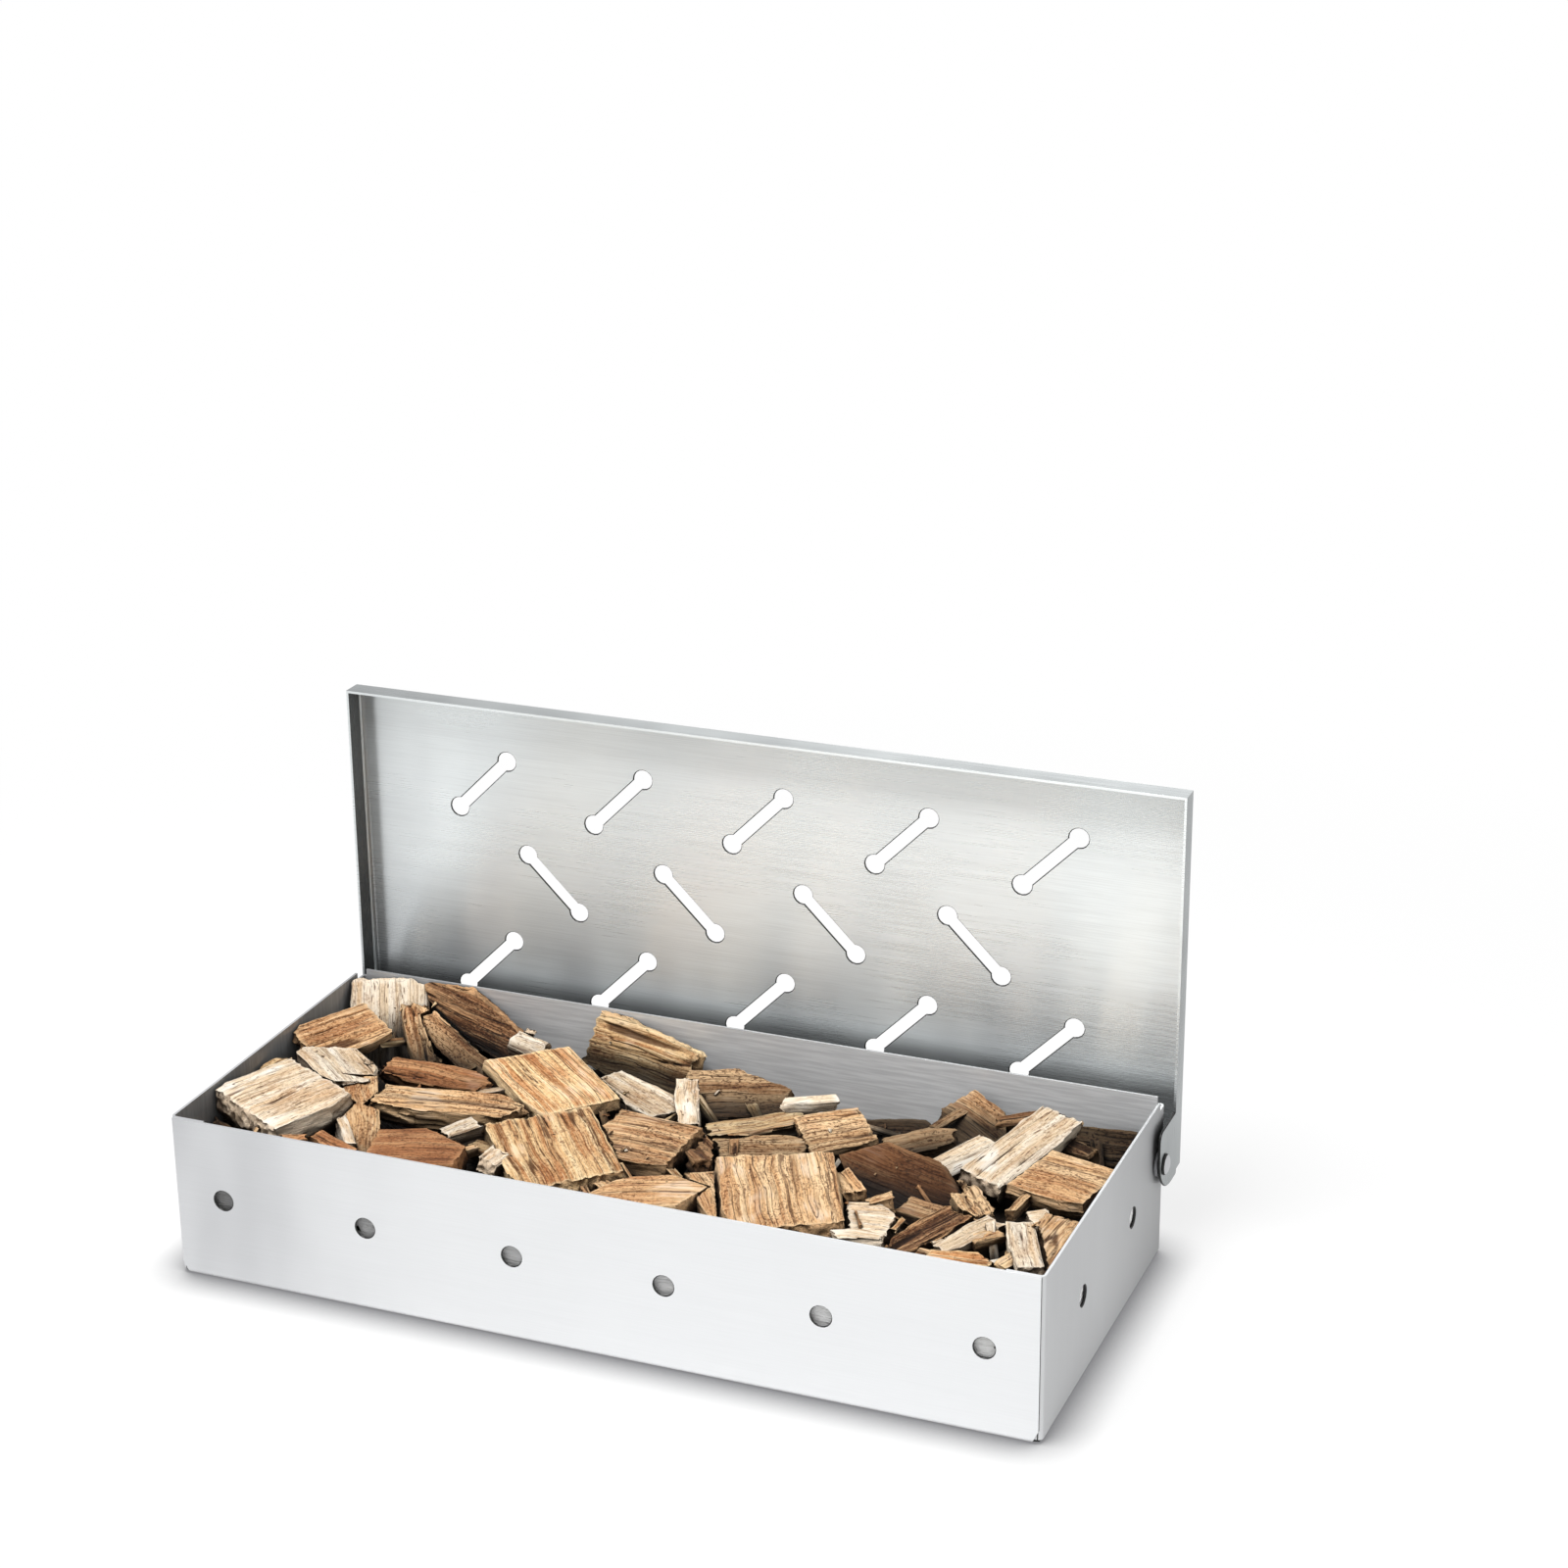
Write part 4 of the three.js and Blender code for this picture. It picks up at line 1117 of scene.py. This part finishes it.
def block(size, seed, settings, coarseness):
    """A small chip about the origin: a tapered block, split along X."""
    bm = bmesh.new()
    bmesh.ops.create_cube(bm, size=1.0)
    bmesh.ops.scale(bm, vec=size, verts=bm.verts[:])
    draws = random.Random(seed)
    for vert in bm.verts:
        for i, narrowest in enumerate(TAPER):
            vert.co[i] *= draws.uniform(narrowest, 1.0)
    axes = tuple(Matrix.Identity(3))
    strip_grid(bm, axes, settings, coarseness)
    return bm, axes


class SMOKER_OT_top_chips(bpy.types.Operator):
    """Split the chips that lie on top"""

    bl_idname = "smoker.top_chips"
    bl_label = "Top chips"

    def execute(self, context):
        settings = context.scene.smoker_wood
        for i, (heading, cut) in enumerate(TOP_CHIPS):
            lights = SHADED_CHIPS.get(i + 1, FULL_LIGHTS)
            wood_piece(f"wood_chip_{i + 1:02d}", i, heading, cut, settings, 1.0, lights)
        return {"FINISHED"}


class SMOKER_OT_under_chunks(bpy.types.Operator):
    """Split the chunks that stand for the lower layers"""

    bl_idname = "smoker.under_chunks"
    bl_label = "Lower layers"

    def execute(self, context):
        settings = context.scene.smoker_wood
        names = sorted(node for node in frame["nodes"] if node.startswith("wood_chunk_"))
        if not names:
            raise RuntimeError("the frame holds no wood chunks")
        for i, node in enumerate(names):
            number = len(TOP_CHIPS) + i
            wood_piece(node, number, i * CHUNK_TURN, "torn", settings, settings.under_share)
        return {"FINISHED"}


class Heap:
    """The height of the fill over the tray's floor, cell by cell."""

    def __init__(self, pieces):
        """Measure the pieces from above."""
        corners, faces = [], []
        for piece in pieces:
            start = len(corners)
            corners += [vert.co.copy() for vert in piece.data.vertices]
            faces += [[start + i for i in face.vertices] for face in piece.data.polygons]
        tree = BVHTree.FromPolygons(corners, faces)
        self.low = tray_low + Vector((1, 1, 0)) * (2 * SHEET)
        high = tray_high - Vector((1, 1, 0)) * (2 * SHEET)
        self.columns = int((high.x - self.low.x) / HEAP_CELL)
        self.rows = int((high.y - self.low.y) / HEAP_CELL)
        self.heights = [
            [self.drop(tree, i, j) for j in range(self.rows)] for i in range(self.columns)]

    def drop(self, tree, i, j):
        """The height at which something dropped into a cell lands."""
        x = self.low.x + (i + 0.5) * HEAP_CELL
        y = self.low.y + (j + 0.5) * HEAP_CELL
        hit = tree.ray_cast(Vector((x, y, DROP_HEIGHT)), Vector((0, 0, -1)))[0]
        return hit.z if hit else 0.0

    def cell(self, x, y):
        """The column and the row of a place."""
        i = clamped(int((x - self.low.x) / HEAP_CELL), 0, self.columns - 1)
        j = clamped(int((y - self.low.y) / HEAP_CELL), 0, self.rows - 1)
        return i, j

    def height(self, x, y):
        """The height at a place."""
        i, j = self.cell(x, y)
        return self.heights[i][j]

    def raise_to(self, x, y, z):
        """Raise a place, unless it is higher already."""
        i, j = self.cell(x, y)
        self.heights[i][j] = max(self.heights[i][j], z)

    def seat(self, x, y, size, yaw):
        """Where a block of a size comes to rest: its height and how it leans."""
        along = Vector((math.cos(yaw), math.sin(yaw), 0))
        across = Vector((-along.y, along.x, 0))
        spots = []
        for a in REST_SPOTS:
            row = [Vector((x, y, 0)) + along * size.x * a + across * size.y * b for b in REST_SPOTS]
            spots.append([self.height(spot.x, spot.y) for spot in row])
        ends = [max(row) for row in spots]
        sides = [max(column) for column in zip(*spots)]
        span = REST_SPOTS[-1] - REST_SPOTS[0]
        pitch = math.atan2(ends[-1] - ends[0], size.x * span)
        roll = math.atan2(sides[-1] - sides[0], size.y * span)
        return sum(ends) / len(ends), pitch, roll

    def cover(self, x, y, size, yaw, top, pitch):
        """Raise the places that a bit covers."""
        along, across = COVERED
        for a in range(along):
            for b in range(across):
                dx = size.x * (a - along // 2) / along
                dy = size.y * (b - across // 2) / across
                px = x + dx * math.cos(yaw) - dy * math.sin(yaw)
                py = y + dx * math.sin(yaw) + dy * math.cos(yaw)
                self.raise_to(px, py, top + dx * math.tan(pitch))


def scattered(heap, count, sizes, draws, outside_share):
    """Places for loose bits, most of them in the gaps between the chips."""
    made = []
    tries = 0
    while len(made) < count and tries < count * TRIES:
        tries += 1
        x, y = (draws.uniform(tray_low[i] + WALL_GAP, tray_high[i] - WALL_GAP) for i in (0, 1))
        yaw = draws.uniform(-math.pi, math.pi)
        size = Vector([draws.uniform(low, high) * MILLIMETRE for low, high in sizes])
        around = sorted(heap.height(x + dx * GAP_REACH, y + dy * GAP_REACH) for dx, dy in AROUND)
        brim = around[len(around) // 2]
        in_gap = brim - heap.height(x, y) > size.z * GAP_DEPTH
        if not in_gap and draws.random() > outside_share:
            continue
        if all(low <= value <= high for low, value, high in zip(CLEAR_LOW, (x, y), CLEAR_HIGH)):
            continue
        height, pitch, roll = heap.seat(x, y, size, yaw)
        top = height + size.z * BIT_RISE
        steep = max(abs(pitch), abs(roll)) > STEEPEST
        if steep or top > brim or height + size.z > tray_high.z:
            continue
        made.append((Vector((x, y, height + size.z * BIT_MIDDLE)), size, (yaw, pitch, roll)))
        heap.cover(x, y, size, yaw, top, pitch)
    return made


def turned(place, turns):
    """The matrix of a bit: rolled, pitched, then turned, and moved to its place."""
    yaw, pitch, roll = turns
    return Matrix.Translation(place) @ Euler((roll, -pitch, yaw), "XYZ").to_matrix().to_4x4()


def add_bit(
        target, matrix, size, seed, settings, coarseness, cut, lights=FULL_LIGHTS, buried=True):
    """Add one weathered bit to a bmesh."""
    bm, axes = block(size, seed, settings, coarseness)
    bmesh.ops.transform(bm, matrix=matrix, verts=bm.verts[:])
    turn = matrix.to_3x3()
    weather(bm, tuple(turn @ axis for axis in axes), cut, settings, seed, lights, buried)
    mesh = as_mesh(bm, "bit")
    target.from_mesh(mesh)
    bpy.data.meshes.remove(mesh)


def air_holes():
    """The middle of each air hole in the tray, and the direction through its wall, outwards."""
    bm = merged_copy("tray")
    pivot = sum((Vector(corner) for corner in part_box("hinge_rivet_right")), Vector()) / 2
    found = []
    for loop in hole_loops(bm):
        low, high = extent(loop)
        centre = (low + high) / 2
        span = high - low
        is_round = abs(max(span.x, span.y) - span.z) < span.z * ROUNDNESS
        at_pivot = abs(centre.y - pivot.y) < span.z
        if len(loop) < ROUND_FACES or not is_round or at_pivot:
            continue
        through = Vector((1, 0, 0)) if span.x < span.y else Vector((0, 1, 0))
        found.append((centre, through if centre.dot(through) > 0 else -through))
    bm.free()
    return sorted(found, key=lambda hole: (hole[0].x, hole[0].y))


class SMOKER_OT_hole_chips(bpy.types.Operator):
    """Stand a grey chip on edge behind each air hole, with painted light from dark at the left end
    to bright at the right
    """

    bl_idname = "smoker.hole_chips"
    bl_label = "Chips behind the air holes"

    def execute(self, context):
        settings = context.scene.smoker_wood
        holes = air_holes()
        if not holes:
            raise RuntimeError("the tray has no air holes")
        pile = bmesh.new()
        size = Vector(HOLE_CHIP)
        up = Vector((0, 0, 1))
        for i, (centre, outwards) in enumerate(holes):
            matrix = Matrix((up.cross(outwards), up, outwards)).transposed().to_4x4()
            matrix.translation = centre - outwards * (SHEET * 0.5 + WOOD_CLEARANCE + size.z * 0.5)
            light = HOLE_LIGHTS[0] + (HOLE_LIGHTS[1] - HOLE_LIGHTS[0]) * to_right(centre)
            add_bit(
                pile, matrix, size, HOLE_CHIP_SEED + i, settings, 1.0, "sawn", (light, light),
                buried=False)
        finished(pile, "hole_chips", TRAY_BODY, wood_material("grey"))
        return {"FINISHED"}


class SMOKER_OT_loose_bits(bpy.types.Operator):
    """Drop small chips, bits and crumbs into the gaps"""

    bl_idname = "smoker.loose_bits"
    bl_label = "Loose bits"

    def execute(self, context):
        settings = context.scene.smoker_wood
        wood = [piece for piece in bpy.data.objects if piece.name.endswith("_split")]
        if not wood:
            raise RuntimeError("split the chips before the bits are dropped")
        heap = Heap(wood)
        draws = random.Random(settings.seed)
        tones = [tone for tone in WOOD_TONES if tone != "grey"]
        piles = {tone: bmesh.new() for tone in tones}
        for i, (tone, place, size, turns) in enumerate(SMALL_CHIPS):
            size = Vector(size) * MILLIMETRE
            place = Vector(place) * MILLIMETRE
            matrix = turned(place, [math.radians(turn) for turn in turns])
            add_bit(piles[tone], matrix, size, SMALL_CHIP_SEED + i, settings, 1.0, "split")
            heap.raise_to(place.x, place.y, place.z)
        for count, sizes, coarseness, share, first in LOOSE_BITS:
            for i, (place, size, turns) in enumerate(scattered(heap, count, sizes, draws, share)):
                tone = draws.choices(tones, weights=TONE_WEIGHTS)[0]
                matrix = turned(place, turns)
                add_bit(piles[tone], matrix, size, first + i, settings, coarseness, "split")
        for tone, pile in piles.items():
            finished(pile, f"loose_bits_{tone}", TRAY_BODY, wood_material(tone))
        return {"FINISHED"}


# Stage

def mixed(tree, share, first, second):
    """Two shaders mixed by a share."""
    return add_node(tree, "ShaderNodeMixShader", {0: share, 1: first, 2: second}).outputs[0]


def see_white(tree, plain, white):
    """The white shader where a camera, glossy or transmission ray looks, and the plain one
    elsewhere."""
    path = add_node(tree, "ShaderNodeLightPath").outputs
    seen = reckon(tree, "MAXIMUM", path["Is Camera Ray"], path["Is Glossy Ray"])
    seen = reckon(tree, "MAXIMUM", seen, path["Is Transmission Ray"])
    return mixed(tree, seen, plain, white)


def floor_material(settings):
    """White as seen, shaded close to the box and fading to plain white further away."""
    material = bpy.data.materials.new("floor")
    material.use_nodes = True
    tree = material.node_tree
    tree.nodes.clear()
    colour = linear(settings.floor_colour)
    paint = add_node(tree, "ShaderNodeBsdfDiffuse", {"Color": colour}).outputs[0]
    # Painted contact shadow: where the ambient occlusion finds the box, the floor that the camera
    # sees darkens
    near = add_node(
        tree, "ShaderNodeAmbientOcclusion", {"Distance": settings.contact_reach}, samples=16)
    touch = reckon(tree, "SUBTRACT", 1.0, near.outputs["AO"])
    touch = reckon(tree, "MULTIPLY", touch, CONTACT_DEPTH)
    path = add_node(tree, "ShaderNodeLightPath").outputs
    touch = reckon(tree, "MULTIPLY", touch, path["Is Camera Ray"])
    white = blended(tree, touch, (1, 1, 1), linear(settings.contact_shadow_colour))
    glow = add_node(tree, "ShaderNodeEmission", {"Color": white, "Strength": 1.0}).outputs[0]
    seen = add_node(
        tree, "ShaderNodeBsdfDiffuse", {"Color": toned(tree, 1.0, white, colour)}).outputs[0]
    place = add_node(tree, "ShaderNodeTexCoord").outputs["Object"]
    away = add_node(tree, "ShaderNodeVectorMath", {0: place}, operation="LENGTH").outputs["Value"]
    reach = settings.shadow_reach
    share = ranged(tree, away, reach * 0.5, reach, settings.floor_glow, 1.0)
    surface = see_white(tree, paint, mixed(tree, share, seen, glow))
    add_node(tree, "ShaderNodeOutputMaterial", {"Surface": surface})
    return material


def lay_floor(settings):
    """A wide pale floor under the box."""
    bm = bmesh.new()
    bmesh.ops.create_grid(bm, x_segments=1, y_segments=1, size=FLOOR_REACH)
    bmesh.ops.translate(bm, vec=(0, 0, tray_low.z - FLOOR_GAP), verts=bm.verts[:])
    mesh = as_mesh(bm, "floor")
    mesh.materials.append(floor_material(settings))
    placed("floor", mesh)


def light_world(settings):
    """White all round for the eye and for reflections, softer as a light."""
    world = bpy.data.worlds.new("studio")
    world.use_nodes = True
    tree = world.node_tree
    tree.nodes.clear()
    soft, white = (
        add_node(tree, "ShaderNodeBackground", {"Color": (1, 1, 1), "Strength": strength}).outputs[0]
        for strength in (settings.ambient, 1.0))
    add_node(tree, "ShaderNodeOutputWorld", {"Surface": see_white(tree, soft, white)})
    bpy.context.scene.world = world


def add_light(name, lamp, power):
    """A square soft light at a lamp's place."""
    place, width = lamp
    light = bpy.data.lights.new(name, "AREA")
    light.size = width
    light.energy = power
    made = placed(name, light)
    made.location = place
    made.rotation_mode = "QUATERNION"
    made.rotation_quaternion = (Vector(LAMP_AIM) - Vector(place)).to_track_quat("-Z", "Y")


def set_camera(settings):
    """The camera at the photographed angle."""
    azimuth, elevation = settings.camera_azimuth, settings.camera_elevation
    back = Vector((
        math.sin(azimuth) * math.cos(elevation),
        -math.cos(azimuth) * math.cos(elevation),
        math.sin(elevation),
    ))
    side = Vector((math.cos(azimuth), math.sin(azimuth), 0))
    up = back.cross(side)
    turn = Matrix((side, up, back)).transposed() @ Matrix.Rotation(settings.camera_roll, 3, "Z")
    lens = bpy.data.cameras.new("camera")
    lens.sensor_width = SENSOR_WIDTH
    lens.lens = settings.focal_length
    lens.clip_start = CAMERA_NEAR
    camera = placed("camera", lens)
    camera.matrix_world = Matrix.Translation(settings.camera_place) @ turn.to_4x4()
    bpy.context.scene.camera = camera


class SMOKER_OT_stage(bpy.types.Operator):
    """Lay the floor, light the box and set the camera"""

    bl_idname = "smoker.stage"
    bl_label = "Stage"

    def execute(self, context):
        settings = context.scene.smoker_stage
        lay_floor(settings)
        light_world(settings)
        add_light("key", KEY_LAMP, settings.key_power)
        add_light("fill", FILL_LAMP, settings.fill_power)
        set_camera(settings)
        context.scene.view_settings.view_transform = "Standard"
        return {"FINISHED"}


class SMOKER_PT_panel(bpy.types.Panel):
    """Lists the pieces of the smoker box"""

    bl_idname = "SMOKER_PT_panel"
    bl_label = "Smoker box"
    bl_space_type = "VIEW_3D"
    bl_region_type = "UI"
    bl_category = "Smoker box"

    def draw(self, context):
        for operator in OPERATORS:
            self.layout.operator(operator.bl_idname)
        for name in SETTINGS:
            box = self.layout.box()
            group = getattr(context.scene, name)
            for key in group.bl_rna.properties.keys():
                if key not in {"rna_type", "name"}:
                    box.prop(group, key)


SETTINGS = {
    "smoker_steel": SmokerSteelSettings,
    "smoker_wood": SmokerWoodSettings,
    "smoker_stage": SmokerStageSettings,
}
OPERATORS = (
    SMOKER_OT_tray,
    SMOKER_OT_lid,
    SMOKER_OT_hinge,
    SMOKER_OT_top_chips,
    SMOKER_OT_under_chunks,
    SMOKER_OT_hole_chips,
    SMOKER_OT_loose_bits,
    SMOKER_OT_stage,
)


def register():
    for made in (*SETTINGS.values(), *OPERATORS, SMOKER_PT_panel):
        bpy.utils.register_class(made)
    for name, group in SETTINGS.items():
        setattr(bpy.types.Scene, name, PointerProperty(type=group))


def unregister():
    for name in SETTINGS:
        delattr(bpy.types.Scene, name)
    for made in reversed((*SETTINGS.values(), *OPERATORS, SMOKER_PT_panel)):
        bpy.utils.unregister_class(made)


def main():
    register()
    bpy.ops.smoker.tray()
    bpy.ops.smoker.lid()
    bpy.ops.smoker.hinge()
    bpy.ops.smoker.top_chips()
    bpy.ops.smoker.under_chunks()
    bpy.ops.smoker.hole_chips()
    bpy.ops.smoker.loose_bits()
    bpy.ops.smoker.stage()


if __name__ == "__main__":
    main()
